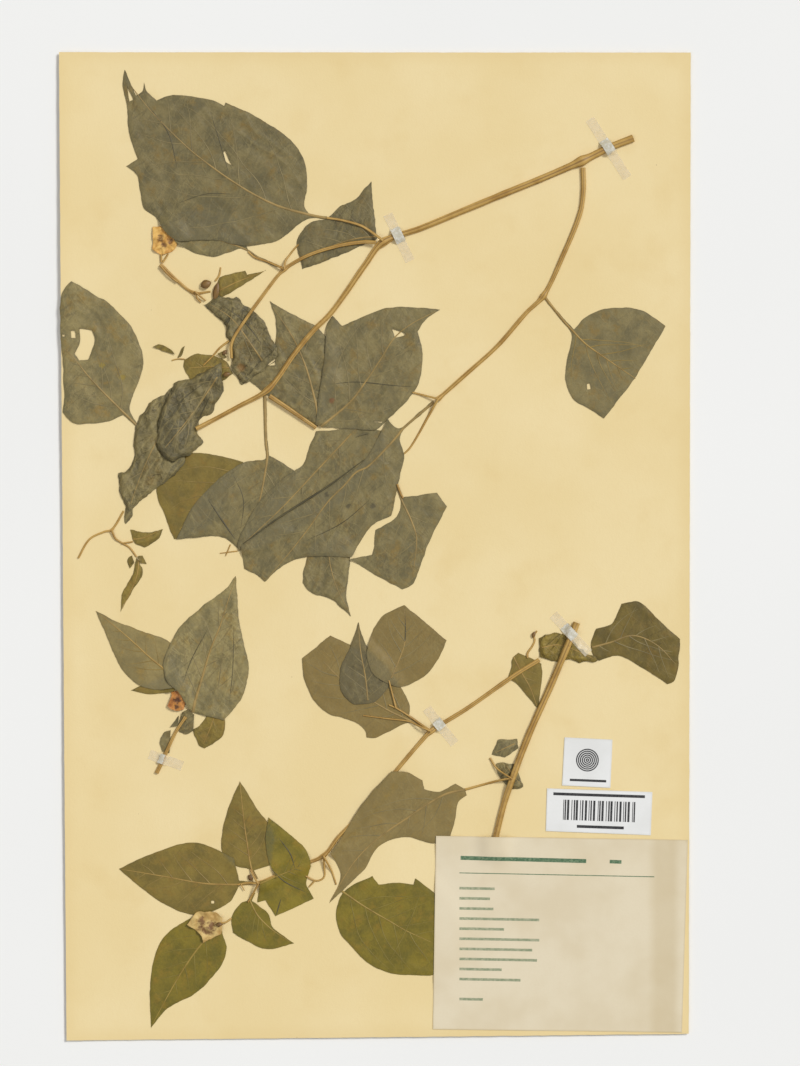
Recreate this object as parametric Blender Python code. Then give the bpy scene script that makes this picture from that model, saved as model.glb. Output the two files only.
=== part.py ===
"""Herbarium specimen sheet: a pressed physalis plant strapped to a card sheet.

Run with: blender --background --python part.py

Everything lies flat on one mounting sheet. X runs across the sheet, Y along
its long side and Z up. The origin is the middle of the sheet's underside.
Plan sizes below are in millimetres, and every piece is laid over the pieces
already placed, so the order at the end of the file is the order in which the
sheet was made up. A height field of the sheet's top, kept in numpy, says how
high each new piece has to lie to clear what is under it.
"""

import math

import bpy
import numpy as np
from mathutils import Vector, geometry

MM = 0.001

# Driving dimensions, in millimetres
SHEET_WIDTH = 269.0
SHEET_LENGTH = 421.0
SHEET_THICKNESS = 0.5
LEAF_THICKNESS = 0.2
FLOWER_THICKNESS = 0.4
LABEL_THICKNESS = 0.2
STRAP_THICKNESS = 0.15
STRAP_WIDTH = 4.2
GAP = 0.3
STEM_FLATNESS = 0.65

# Mesh fineness, in millimetres
LEAF_CELL = 10.0
LABEL_CELL = 8.0
STEM_STEP = 5.5
STEM_SIDES = 6
STRAP_STEP = 3.0
OUTLINE_STEP = 8.0
CORNER_TURN = math.radians(50)
FIELD_CELL = 0.5
FIELD_MARGIN = 6.0
SLIVER_AREA = 0.01

# Colours: red, green, blue, roughness
CARD = (0.84, 0.70, 0.42, 0.9)
LABEL_PAPER = (0.78, 0.68, 0.49, 0.85)
WHITE_PAPER = (0.86, 0.86, 0.84, 0.8)
TAPE = (0.80, 0.78, 0.68, 0.45)
STEM = (0.40, 0.26, 0.06, 0.6)
LEAF_GREY = (0.19, 0.17, 0.10, 0.75)
LEAF_OLIVE = (0.22, 0.17, 0.05, 0.75)
LEAF_GREEN = (0.15, 0.14, 0.03, 0.75)
PETAL_YELLOW = (0.75, 0.42, 0.10, 0.7)
PETAL_ORANGE = (0.45, 0.16, 0.03, 0.7)
PETAL_PALE = (0.60, 0.45, 0.20, 0.7)


class HeightField:
    """The highest surface over each small square of the sheet."""

    def __init__(self, width, length, cell, margin):
        self.cell = cell
        self.left = -width / 2 - margin
        self.bottom = -length / 2 - margin
        columns = int((width + 2 * margin) / cell) + 1
        rows = int((length + 2 * margin) / cell) + 1
        self.height = np.zeros((rows, columns))

    def span(self, low, high, start, count):
        first = int(math.floor((low - start) / self.cell))
        last = int(math.ceil((high - start) / self.cell)) + 1
        return max(first, 0), min(last, count)

    def highest(self, x, y, reach):
        """The highest surface within a square of half side reach round x, y."""
        rows, columns = self.height.shape
        c0, c1 = self.span(x - reach, x + reach, self.left, columns)
        r0, r1 = self.span(y - reach, y + reach, self.bottom, rows)
        return float(self.height[r0:r1, c0:c1].max())

    def add_triangle(self, a, b, c):
        rows, columns = self.height.shape
        xs = (a[0], b[0], c[0])
        ys = (a[1], b[1], c[1])
        c0, c1 = self.span(min(xs), max(xs), self.left, columns)
        r0, r1 = self.span(min(ys), max(ys), self.bottom, rows)
        area = (b[0] - a[0]) * (c[1] - a[1]) - (c[0] - a[0]) * (b[1] - a[1])
        if abs(area) < 1e-9 or c1 <= c0 or r1 <= r0:
            return
        x = self.left + (np.arange(c0, c1) + 0.5) * self.cell
        y = self.bottom + (np.arange(r0, r1) + 0.5) * self.cell
        x, y = np.meshgrid(x, y)
        along_b = ((x - a[0]) * (c[1] - a[1]) - (c[0] - a[0]) * (y - a[1])) / area
        along_c = ((b[0] - a[0]) * (y - a[1]) - (x - a[0]) * (b[1] - a[1])) / area
        inside = (along_b >= 0) & (along_c >= 0) & (along_b + along_c <= 1)
        z = a[2] + along_b * (b[2] - a[2]) + along_c * (c[2] - a[2])
        window = self.height[r0:r1, c0:c1]
        np.maximum(window, np.where(inside, z, 0.0), out=window)

    def add_mesh(self, vertices, faces):
        for face in faces:
            for second, third in zip(face[1:-1], face[2:]):
                self.add_triangle(vertices[face[0]], vertices[second], vertices[third])


field = HeightField(SHEET_WIDTH, SHEET_LENGTH, FIELD_CELL, FIELD_MARGIN)


def clear_scene():
    for old in list(bpy.data.objects):
        bpy.data.objects.remove(old, do_unlink=True)


def material(name, colour):
    made = bpy.data.materials.new(name)
    made.use_nodes = True
    shader = made.node_tree.nodes["Principled BSDF"]
    shader.inputs["Base Color"].default_value = (*colour[:3], 1.0)
    shader.inputs["Roughness"].default_value = colour[3]
    shader.inputs["Metallic"].default_value = 0.0
    return made


def add_object(name, vertices, faces, colour):
    mesh = bpy.data.meshes.new(name)
    mesh.from_pydata([Vector(v) * MM for v in vertices], [], faces)
    mesh.update()
    mesh.materials.append(material(name, colour))
    piece = bpy.data.objects.new(name, mesh)
    bpy.context.scene.collection.objects.link(piece)
    field.add_mesh(vertices, faces)
    return piece


def tangents(points, closed):
    """Catmull-Rom tangents, and None at sharp corners, so that these stay sharp."""
    count = len(points)
    result = []
    for i, here in enumerate(points):
        before = points[i - 1] if closed or i > 0 else here
        after = points[(i + 1) % count] if closed or i < count - 1 else here
        turn = 0.0
        if before != here and after != here:
            turn = (here - before).angle(after - here)
        result.append(None if turn > CORNER_TURN else after - before)
    return result


def smooth_line(points, step, closed=False):
    """Hermite curve through the points, with a sample about every step."""
    points = [Vector(p) for p in points]
    slopes = tangents(points, closed)
    count = len(points)
    samples = []
    for i in range(count if closed else count - 1):
        start, end = points[i], points[(i + 1) % count]
        chord = end - start
        slope_in = slopes[i] if slopes[i] is not None else chord
        slope_out = slopes[(i + 1) % count]
        slope_out = slope_out if slope_out is not None else chord
        slope_in = slope_in.normalized() * chord.length
        slope_out = slope_out.normalized() * chord.length
        parts = max(1, math.ceil(chord.length / step))
        for k in range(parts):
            t = k / parts
            samples.append(start * (2 * t ** 3 - 3 * t ** 2 + 1)
                           + slope_in * (t ** 3 - 2 * t ** 2 + t)
                           + end * (3 * t ** 2 - 2 * t ** 3)
                           + slope_out * (t ** 3 - t ** 2))
    if not closed:
        samples.append(points[-1])
    return samples


def inside_loops(x, y, loops):
    """Even-odd test, so that a loop inside another is a hole."""
    inside = False
    for loop in loops:
        for a, b in zip(loop, loop[1:] + loop[:1]):
            if (a.y > y) != (b.y > y) and x < a.x + (y - a.y) * (b.x - a.x) / (b.y - a.y):
                inside = not inside
    return inside


def clear_of_edges(x, y, loops, distance):
    spot = Vector((x, y))
    for loop in loops:
        for a, b in zip(loop, loop[1:] + loop[:1]):
            edge = b - a
            along = max(0.0, min(1.0, (spot - a).dot(edge) / edge.length_squared))
            if (a + edge * along - spot).length < distance:
                return False
    return True


def inner_points(loops, cell):
    """A triangular lattice of points inside the loops."""
    xs = [p.x for p in loops[0]]
    ys = [p.y for p in loops[0]]
    row_step = cell * math.sqrt(3) / 2
    found = []
    row = 0
    y = min(ys) + row_step / 2
    while y < max(ys):
        x = min(xs) + cell / 2 * (row % 2)
        while x < max(xs):
            if inside_loops(x, y, loops) and clear_of_edges(x, y, loops, cell * 0.45):
                found.append(Vector((x, y)))
            x += cell
        row += 1
        y += row_step
    return found


def triangulate(loops, cell):
    """Flat triangles that fill the outline and leave its holes open."""
    points = []
    edges = []
    for loop in loops:
        first = len(points)
        points += loop
        edges += [(first + i, first + (i + 1) % len(loop)) for i in range(len(loop))]
    points += inner_points(loops, cell)
    made = geometry.delaunay_2d_cdt(points, edges, [], 0, 1e-4)
    plan, triangles = made[0], made[2]
    kept = []
    for triangle in triangles:
        a, b, c = (plan[i] for i in triangle)
        middle = (a + b + c) / 3
        if geometry.area_tri(a, b, c) > SLIVER_AREA and inside_loops(middle.x, middle.y, loops):
            kept.append(tuple(triangle))
    return plan, kept


def flat_piece(name, outline, colour, thickness=LEAF_THICKNESS, holes=(), cell=LEAF_CELL,
               step=OUTLINE_STEP, smooth=True):
    """A thin sheet with this outline, laid over everything that it crosses.

    No corner of a triangle lies lower than the highest thing within that
    triangle's longest side, so the flat triangle clears all that is under it.
    """
    loops = []
    for loop in (outline, *holes):
        loops.append(smooth_line(loop, step, True) if smooth else split_edges(loop, step))
    plan, triangles = triangulate(loops, cell)
    reach = [0.0] * len(plan)
    sides = {}
    for triangle in triangles:
        for a, b in zip(triangle, triangle[1:] + triangle[:1]):
            length = (plan[a] - plan[b]).length
            reach[a] = max(reach[a], length)
            reach[b] = max(reach[b], length)
            sides[(a, b)] = sides.get((a, b), 0) + 1
    used = sorted({i for triangle in triangles for i in triangle})
    place = {old: new for new, old in enumerate(used)}
    lower = []
    for i in used:
        under = field.highest(plan[i].x, plan[i].y, reach[i] + FIELD_CELL)
        lower.append((plan[i].x, plan[i].y, under + GAP))
    upper = [(x, y, z + thickness) for x, y, z in lower]
    count = len(used)
    faces = []
    for a, b, c in triangles:
        a, b, c = place[a], place[b], place[c]
        faces.append((a + count, b + count, c + count))
        faces.append((c, b, a))
    for a, b in sides:
        if (b, a) not in sides:
            a, b = place[a], place[b]
            faces.append((a, b, b + count, a + count))
    return add_object(name, lower + upper, faces, colour)


def split_edges(loop, step):
    """The loop's straight sides, cut into lengths of about step."""
    points = [Vector(p) for p in loop]
    result = []
    for a, b in zip(points, points[1:] + points[:1]):
        parts = max(1, round((b - a).length / step))
        result += [a.lerp(b, k / parts) for k in range(parts)]
    return result


def label(name, outline, colour):
    return flat_piece(name, outline, colour, LABEL_THICKNESS, cell=LABEL_CELL,
                      step=LABEL_CELL, smooth=False)


def strap(name, start, end):
    """A straight strap from start to end, pressed down over what it holds."""
    start, end = Vector(start), Vector(end)
    along = (end - start).normalized()
    side = Vector((-along.y, along.x)) * STRAP_WIDTH / 2
    corners = [start - side, end - side, end + side, start + side]
    return flat_piece(name, corners, TAPE, STRAP_THICKNESS, cell=STRAP_STEP,
                      step=STRAP_STEP, smooth=False)


def stem(name, points, start_width, end_width):
    """A pressed stem along the points: a flattened tube with closed ends."""
    line = smooth_line(points, STEM_STEP)
    vertices = []
    for i, here in enumerate(line):
        before, after = line[max(i - 1, 0)], line[min(i + 1, len(line) - 1)]
        along = (after - before).normalized()
        width = start_width + (end_width - start_width) * i / (len(line) - 1)
        height = width * STEM_FLATNESS
        reach = max((here - before).length, (after - here).length) + width / 2 + FIELD_CELL
        middle = field.highest(here.x, here.y, reach) + GAP + height / 2
        for k in range(STEM_SIDES):
            turn = 2 * math.pi * k / STEM_SIDES
            out = math.cos(turn) * width / 2
            up = math.sin(turn) * height / 2
            vertices.append((here.x + along.y * out, here.y - along.x * out, middle + up))
    faces = [tuple(range(STEM_SIDES))]
    rings = len(line)
    for ring in range(rings - 1):
        for k in range(STEM_SIDES):
            a = ring * STEM_SIDES + k
            b = ring * STEM_SIDES + (k + 1) % STEM_SIDES
            faces.append((b, a, a + STEM_SIDES, b + STEM_SIDES))
    faces.append(tuple(reversed(range((rings - 1) * STEM_SIDES, rings * STEM_SIDES))))
    return add_object(name, vertices, faces, STEM)


def mounting_sheet():
    """The card that carries everything: a flat slab, trimmed slightly out of square."""
    corners = [(-134.5, 210.5), (-131.3, -210.5), (133.7, -207.6), (134.5, 210.3)]
    vertices = [(x, y, 0.0) for x, y in corners]
    vertices += [(x, y, SHEET_THICKNESS) for x, y in corners]
    faces = [(3, 2, 1, 0), (4, 5, 6, 7)]
    faces += [(k, (k + 1) % 4, (k + 1) % 4 + 4, k + 4) for k in range(4)]
    return add_object("mounting_sheet", vertices, faces, CARD)


# Outlines of the leaves on the upper sprig, stalks included, in millimetres
LEAF_TOP = [
    (-106.5, 203), (-104.3, 197.5), (-101.6, 192), (-98.8, 194.3), (-98.3, 197.6), (-97.2, 193.8),
    (-93, 189.8), (-88, 192), (-80, 192), (-68, 189.5), (-64, 187.2), (-63.6, 189),
    (-54, 184.8), (-44, 179), (-34.5, 171.5), (-29.5, 162), (-29, 152),
    (-30, 145), (-27.8, 141.4), (-20.5, 140.4), (-20.5, 139.3), (-28.5, 139.6), (-34, 136),
    (-41, 130.5), (-55, 128), (-66, 130), (-75, 130.5), (-84, 130), (-89, 133.5), (-93, 140),
    (-98.3, 144), (-101.3, 158), (-106, 162), (-101, 165), (-104.5, 176), (-105.6, 188),
    (-107.4, 197)]
LEAF_TOP_SLIT = [(-105.8, 197.3), (-102.8, 190.2), (-104.6, 189.4)]
LEAF_TOP_HOLE = [(-64, 169), (-62, 164), (-60.3, 162), (-63, 163.5), (-64.5, 166)]
LEAF_UNDER_TOP = [
    (-56.5, 126.8), (-62, 125.3), (-68, 123.5), (-76, 124.8), (-85, 130), (-88, 136),
    (-84, 142), (-74, 143), (-62, 138), (-56, 131), (-53.8, 126.4), (-49.2, 123.4),
    (-41, 119.8), (-41.4, 118.9), (-49.8, 122.4)]
LEAF_FORK = [
    (-33, 130.5), (-28, 137.5), (-20.5, 139.8), (-15, 144.5), (-9, 147.5), (-1.5, 155.4),
    (-1.1, 150), (0.7, 134), (1, 131), (-8, 126.8), (-18, 122.8), (-30.8, 118), (-32.5, 125)]
LEAF_MID_LEFT = [
    (-44.7, 104.4), (-41, 102), (-32, 97.3), (-25.3, 93.8), (-19.6, 87.3), (-17, 78), (-18, 66),
    (-24.5, 51), (-33, 56), (-44, 63), (-54, 71), (-50, 74.5), (-42.5, 78.5), (-42.3, 96)]
LEAF_MID_RIGHT = [
    (27.8, 100.8), (14, 101.9), (4, 101.3), (-7.5, 96.6), (-14, 94), (-18, 98), (-20.5, 94),
    (-21, 84), (-23, 70), (-25.3, 52), (-22, 51), (-10, 50), (1, 50), (5.5, 54), (13, 61.3),
    (16.8, 66), (19.4, 72), (20.3, 83), (18, 91.6), (22.5, 97.5)]
LEAF_MID_RIGHT_HOLE = [(7.2, 92.8), (12.3, 91), (13.3, 90), (8.3, 88.7)]
LEAF_RIGHT = [
    (84.8, 92.3), (88.5, 96.5), (96, 100.6), (107, 101.6), (115, 99.8), (123.8, 93.8),
    (117, 82), (109.5, 70), (97.5, 54.5), (91, 58.8), (84.5, 62.8), (81.3, 70), (82, 80.5),
    (83.8, 90.7), (79, 96.9), (73.4, 103.8), (74.2, 104.5), (79.8, 97.6)]
LEAF_RIGHT_HOLE = [(90.2, 69.2), (91.6, 69.4), (92, 67), (90.4, 66.8)]
LEAF_FAR_LEFT = [
    (-129.2, 112.8), (-124, 110), (-117.8, 106), (-114.8, 105), (-110, 100.3), (-104.8, 95),
    (-99.5, 84), (-98.9, 76), (-102.5, 65.8), (-104.5, 58.3), (-101, 52), (-101.8, 51.2),
    (-107, 56), (-114.5, 53.2), (-128, 52.6), (-133, 57), (-132.2, 63.5), (-133, 81),
    (-134, 96), (-133.2, 108)]
LEAF_FAR_LEFT_HOLE = [
    (-125.7, 92.8), (-120.5, 92), (-119.2, 88), (-122, 79.6), (-126, 79), (-127.7, 82),
    (-125.5, 87)]
LEAF_BUD_SIDE = [
    (-66, 114.5), (-62, 116), (-55.3, 117.3), (-54.5, 115.5), (-46.2, 117.7), (-50, 115.3),
    (-56, 111.5), (-65.8, 105.5), (-67.5, 110)]
LEAF_CRUMPLED_HIGH = [
    (-73.5, 103), (-68, 106), (-60, 105.3), (-59, 106.8), (-49, 98), (-42.8, 86.3),
    (-42.5, 81), (-48, 75.5), (-56.7, 69.3), (-60, 72.5), (-60, 79), (-63.5, 94), (-69.5, 100)]
LEAF_ROUND_SMALL = [
    (-81.3, 79.5), (-77, 81.8), (-70, 81.7), (-62.5, 77.8), (-60.5, 73.5), (-66, 70),
    (-78.5, 71), (-81.5, 76)]
LEAF_CRUMPLED_LONG = [
    (-85, 67.7), (-93, 62.5), (-100.3, 55), (-102.5, 39.5), (-106, 32.5), (-109, 31),
    (-107.8, 22), (-106, 10), (-101, 17), (-93, 24), (-85, 30), (-80, 40), (-79, 55)]
LEAF_CRUMPLED_LOW = [
    (-86, 69.7), (-74, 73.5), (-65.5, 78), (-64.7, 66), (-69, 58), (-73, 55.5), (-76.5, 49),
    (-73.5, 44.5), (-79, 39.5), (-86, 36), (-92, 42), (-91, 56)]
LEAF_OLIVE_UNDER = [
    (-93, 24), (-90, 14.5), (-85.5, 3), (-78, 4), (-68, 12), (-60, 25), (-56, 35.8),
    (-66, 38.6), (-79, 39.5), (-88, 34)]
LEAF_HANGING = [
    (-47, 37.2), (-56, 35.6), (-66, 29), (-77, 17.5), (-84.5, 3), (-73, 4.2), (-64, 3.5),
    (-57.5, -1.7), (-48, 6), (-38, 18), (-34, 27), (-33, 31.5), (-42, 37), (-45, 38.6),
    (-45.6, 44), (-46.2, 60), (-47.3, 60), (-46.7, 44), (-46, 38.6)]
LEAF_BEHIND_DIAGONAL = [
    (-25, 49), (-28, 42), (-30.5, 35), (-38, 30), (-50, 18), (-58.5, 1), (-58, -2), (-48, 0),
    (-28, 10), (-8, 24), (4, 38), (4, 49), (-8, 51), (-18, 49.5)]
LEAF_DIAGONAL = [
    (5.5, 54.3), (8.8, 50.6), (11.3, 50.6), (20, 58), (24.6, 61.9), (25.3, 61), (20.7, 57),
    (12, 49.4), (10.5, 45), (12.5, 39), (10.3, 29), (8, 17), (7, 13), (0, 9.8), (-5, 4),
    (-10, -4.5), (-28.5, -4.5), (-38, -7.5), (-46.8, -15), (-50, -12.5), (-55.5, -9.5),
    (-57, 0), (-40, 12), (-20, 25), (-5, 36), (0, 44)]
LEAF_FOLDED_TIP = [
    (-28.7, -4.5), (-31, -15.5), (-27, -19.5), (-18, -23), (-10.3, -29.8), (-12.2, -20),
    (-10.5, -5), (-14, 3), (-24, 3)]
LEAF_FOLDED_SIDE = [
    (12, 20.8), (26.5, 22.8), (30.8, 17), (27, 10), (22, -1), (16, -16), (11.7, -18.3),
    (0, -12), (-10.8, -5.5), (-1, -3.5), (0, 3), (0.2, 7), (9.5, 13), (11.2, 19.5),
    (8.6, 27), (9.5, 27.4)]
LEAF_SHOOT_HALF = [
    (-104, 7), (-96.5, 5.8), (-90.4, 7.3), (-92.5, 3), (-98, -0.4), (-101.7, 1), (-103, 3)]
LEAF_SHOOT_NARROW = [
    (-101.6, -5), (-99, -9.5), (-99, -12), (-104, -20), (-107, -25), (-108.3, -28),
    (-107.5, -20), (-103.5, -13)]

# Leaves on the left sprig
LEFT_LEAF_HIGH = [
    (-118.8, -27.5), (-110, -32), (-98, -36.5), (-87, -41), (-82, -50), (-85, -60),
    (-92, -61), (-100.5, -59), (-107.5, -52.5), (-113.5, -40)]
LEFT_LEAF_UNDER = [
    (-104, -61.3), (-95, -57.5), (-86, -54), (-80, -58), (-86.5, -61.8), (-97, -62.8)]
LEFT_LEAF_BIG = [
    (-59.3, -12.7), (-57.5, -33), (-55, -44), (-53.8, -52), (-55, -60), (-59, -68.3),
    (-64.2, -74), (-76, -71.2), (-78.5, -70), (-84, -61.5), (-88, -58), (-90, -50),
    (-87, -41), (-82, -33), (-74, -26), (-63, -17.5)]
LEFT_LEAF_TORN = [
    (-77.5, -78), (-75, -84.5), (-72.5, -86), (-65.2, -81.3), (-64, -74.5), (-66, -70),
    (-71, -70), (-73.5, -75)]

# Leaves on the lower sprig
LOWER_LEAF_FOLDED = [
    (12.5, -25), (30.5, -40), (28, -46), (21.5, -55), (10, -59.8), (3, -57), (-1, -54),
    (-3.5, -47), (-2, -39), (3, -30)]
LOWER_LEAF_MIDDLE = [
    (-7, -32.3), (-3, -43.5), (4, -50), (7, -58), (0, -66), (-9.5, -67), (-14, -62),
    (-14.5, -52), (-11, -44)]
LOWER_LEAF_WIDE = [
    (-19, -38), (-10.8, -41.8), (2, -48), (11, -60), (14.7, -67), (14.5, -73), (23, -77.6),
    (22.3, -78.6), (14.2, -75.2), (8.5, -77.5), (0, -81.6), (-3.5, -81.3), (-4.2, -78.5), (-8, -75), (-20, -71),
    (-25.5, -66), (-30, -57), (-31, -47.7)]
STEM_LEAF_OUTER = [
    (92, -41), (94.3, -35), (100.5, -33.2), (105, -24.3), (112, -23.5), (121, -31.5),
    (130, -39.5), (129, -52), (127.5, -57), (124.5, -58.7), (114, -51.7), (103, -46.5),
    (95.5, -48.7), (92.5, -45)]
STEM_LEAF_ACROSS = [
    (70.5, -39.5), (76, -37.6), (80, -37.8), (90, -45), (94, -48.3), (76, -48.8), (70, -47)]
STEM_LEAF_INNER = [
    (58.3, -48), (61, -45.3), (67.5, -48), (71, -50), (71.2, -55.5), (69.5, -69.2),
    (60, -58.3), (56.7, -56.5), (58, -51.5)]
STEM_LEAF_SMALL = [(50, -88.5), (52.5, -82.5), (60.8, -81.8), (61, -85.8), (55.5, -90)]
STEM_LEAF_TORN = [
    (52.5, -93), (60.3, -92), (63.2, -102.3), (57.5, -103.5), (53.5, -98.5)]
LOWER_LEAF_LONG = [
    (7, -95.7), (14, -96.3), (20.2, -99.5), (21, -103.4), (27, -104.7), (34.3, -101),
    (38, -103.2), (39.2, -106), (35.5, -108.8), (34.2, -116), (31, -126.5), (22.5, -126.2),
    (15, -123.8), (3.5, -126.3), (-2, -133), (-4, -137), (-19.5, -152), (-14.5, -140.5), (-18.8, -130.8), (-15, -125),
    (-4.5, -108.5)]
LOWER_LEAF_WEST = [
    (-109, -137.3), (-90, -129), (-76, -126.2), (-60, -132.7), (-57.8, -142.4), (-50.5, -142.9),
    (-50.5, -144), (-57.9, -144.3), (-62, -151.5), (-76, -157), (-90, -152), (-100, -145)]
LOWER_LEAF_NORTH = [
    (-57.5, -99.8), (-50, -112), (-43, -122), (-44.7, -135.8), (-51.5, -138), (-49.8, -141.4),
    (-50.9, -141.8), (-53, -138), (-60, -135.5), (-65, -130), (-64.5, -119), (-60.5, -107)]
LOWER_LEAF_CREASED = [
    (-45.3, -115.2), (-29.5, -129), (-27.3, -134.8), (-29, -144), (-26, -150), (-42.3, -157.5),
    (-46.5, -150.7), (-50, -151.5), (-48.8, -142.5), (-42, -141), (-44.7, -135.5),
    (-46.5, -124)]
LOWER_LEAF_ROUND = [
    (-61, -158), (-57, -152), (-54, -150.6), (-51.7, -147), (-50.8, -147.5), (-52.4, -150.9),
    (-45, -157), (-43.6, -162), (-34.3, -169), (-47, -171.3), (-60.5, -164.5)]
LOWER_LEAF_GREEN = [
    (-77, -157.5), (-89.5, -166), (-95.3, -182), (-95.3, -205), (-88.3, -196.8),
    (-76, -190), (-65.5, -178.5), (-63.2, -171.5), (-66, -162)]
LOWER_LEAF_LABEL = [
    (-9, -144), (-1, -140.3), (1.5, -144), (10, -143.3), (16.5, -144), (17.3, -141.5),
    (25.3, -147.7), (33, -158), (33, -172), (24.7, -182.4), (10, -182.3), (-2, -178),
    (-10, -170.5), (-15, -164), (-16.5, -156), (-13.5, -147.5)]

# Pressed corollas, seen from the front or half folded
FLOWER_UPPER = [
    (-94.5, 136), (-89, 135.5), (-84, 130.5), (-84.5, 128), (-86, 125.8), (-91, 124),
    (-94.7, 126.5)]
FLOWER_LEFT = [
    (-87, -62), (-82, -61), (-80, -64), (-81.5, -69.3), (-85, -69.8), (-88.5, -68),
    (-86.5, -63.5)]
FLOWER_LOWER = [
    (-80, -161), (-76, -156), (-68, -155.8), (-65, -158), (-65.2, -165), (-73, -168.7),
    (-74.5, -165)]

# Labels
FORM_LABEL = [(26, -123.2), (24.7, -205.6), (130.8, -207), (133.3, -125)]
SQUARE_LABEL = [(80.8, -81.3), (79.7, -101.8), (100.3, -102.8), (101.2, -82.3)]
NARROW_LABEL = [(73.3, -103), (72.8, -121.2), (117.5, -123), (118.2, -104.6)]

# Centre lines of the stems
UPPER_MAIN_STEM = [
    (110, 173.7), (100, 169.8), (88, 164), (71.4, 156.8), (57, 151), (40, 144), (20, 135.7),
    (3.5, 129.5), (-3.8, 120.3), (-12.4, 107.8), (-19.1, 98.8), (-26.1, 91.8), (-34.6, 81.4),
    (-41.5, 71.3), (-46.6, 65.8), (-57.8, 59.7), (-67.6, 54.4), (-76, 50)]
UPPER_HIGH_BRANCH = [
    (0.5, 129.2), (-5, 129.5), (-15, 128), (-28, 124), (-38.5, 118), (-45, 110.5), (-58, 92),
    (-61, 86), (-61, 80)]
UPPER_RIGHT_BRANCH = [
    (88.6, 161.2), (88.8, 152), (87.3, 141.6), (80, 123.6), (72, 107), (64.6, 99.6),
    (54.3, 87.6), (49.1, 82.4), (41.4, 75.6), (26.9, 62.7)]
UPPER_LOW_ARM = [(-44.8, 64), (-38, 59.5), (-30, 54), (-25, 50.5)]
FLOWER_TWIG = [(-91.3, 120), (-84, 113), (-77, 108), (-70, 108.5)]
CORNER_SHOOT = [(-107, 15), (-112, 7), (-115, 6.3), (-121.5, 3), (-126.3, -5)]
LEFT_STEM = [(-93, -96.5), (-91, -92.5), (-85, -79.5), (-80.5, -72.5)]
LOWER_MAIN_STEM = [
    (70, -48.3), (60, -54.5), (40, -68.5), (24, -78.6), (19.5, -83.2), (9.5, -95), (2, -104.5),
    (-8.5, -116.5), (-15.5, -123.7), (-21.8, -131.6), (-31, -135.5), (-49.5, -143.5)]
THICK_STEM = [
    (86, -32.5), (83, -40), (75, -59), (65, -81.5), (56, -106), (51.5, -123.5), (50.8, -128)]


clear_scene()
mounting_sheet()

# Upper sprig, in the order in which its pieces lie on each other
flat_piece("flower_upper", FLOWER_UPPER, PETAL_YELLOW, FLOWER_THICKNESS)
flat_piece("leaf_far_left", LEAF_FAR_LEFT, LEAF_GREY, holes=[LEAF_FAR_LEFT_HOLE])
flat_piece("leaf_under_top", LEAF_UNDER_TOP, LEAF_GREY)
flat_piece("leaf_top", LEAF_TOP, LEAF_GREY, holes=[LEAF_TOP_HOLE, LEAF_TOP_SLIT])
flat_piece("leaf_fork", LEAF_FORK, LEAF_GREY)
flat_piece("leaf_right", LEAF_RIGHT, LEAF_OLIVE, holes=[LEAF_RIGHT_HOLE])
flat_piece("leaf_olive_under", LEAF_OLIVE_UNDER, LEAF_OLIVE)
flat_piece("leaf_hanging", LEAF_HANGING, LEAF_GREY)
flat_piece("leaf_crumpled_long", LEAF_CRUMPLED_LONG, LEAF_GREY)
flat_piece("leaf_round_small", LEAF_ROUND_SMALL, LEAF_OLIVE)
flat_piece("leaf_crumpled_low", LEAF_CRUMPLED_LOW, LEAF_GREY)
flat_piece("leaf_mid_left", LEAF_MID_LEFT, LEAF_GREY)
flat_piece("leaf_bud_side", LEAF_BUD_SIDE, LEAF_OLIVE)
flat_piece("leaf_crumpled_high", LEAF_CRUMPLED_HIGH, LEAF_GREY)
flat_piece("leaf_behind_diagonal", LEAF_BEHIND_DIAGONAL, LEAF_GREY)
flat_piece("leaf_mid_right", LEAF_MID_RIGHT, LEAF_GREY, holes=[LEAF_MID_RIGHT_HOLE])
flat_piece("leaf_folded_tip", LEAF_FOLDED_TIP, LEAF_GREY)
flat_piece("leaf_folded_side", LEAF_FOLDED_SIDE, LEAF_GREY)
flat_piece("leaf_diagonal", LEAF_DIAGONAL, LEAF_GREY)
flat_piece("leaf_shoot_half", LEAF_SHOOT_HALF, LEAF_OLIVE)
flat_piece("leaf_shoot_narrow", LEAF_SHOOT_NARROW, LEAF_OLIVE)
stem("flower_twig", FLOWER_TWIG, 1.6, 0.8)
stem("corner_shoot", CORNER_SHOOT, 0.9, 0.8)
stem("upper_main_stem", UPPER_MAIN_STEM, 3.2, 1.7)
stem("upper_right_branch", UPPER_RIGHT_BRANCH, 2.0, 1.6)
stem("upper_high_branch", UPPER_HIGH_BRANCH, 1.5, 1.2)
stem("upper_low_arm", UPPER_LOW_ARM, 2.0, 1.6)

# Left sprig
flat_piece("flower_left", FLOWER_LEFT, PETAL_ORANGE, FLOWER_THICKNESS)
flat_piece("left_leaf_under", LEFT_LEAF_UNDER, LEAF_OLIVE)
flat_piece("left_leaf_high", LEFT_LEAF_HIGH, LEAF_OLIVE)
flat_piece("left_leaf_torn", LEFT_LEAF_TORN, LEAF_OLIVE)
flat_piece("left_leaf_big", LEFT_LEAF_BIG, LEAF_GREY)
stem("left_stem", LEFT_STEM, 1.6, 1.2)

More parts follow.
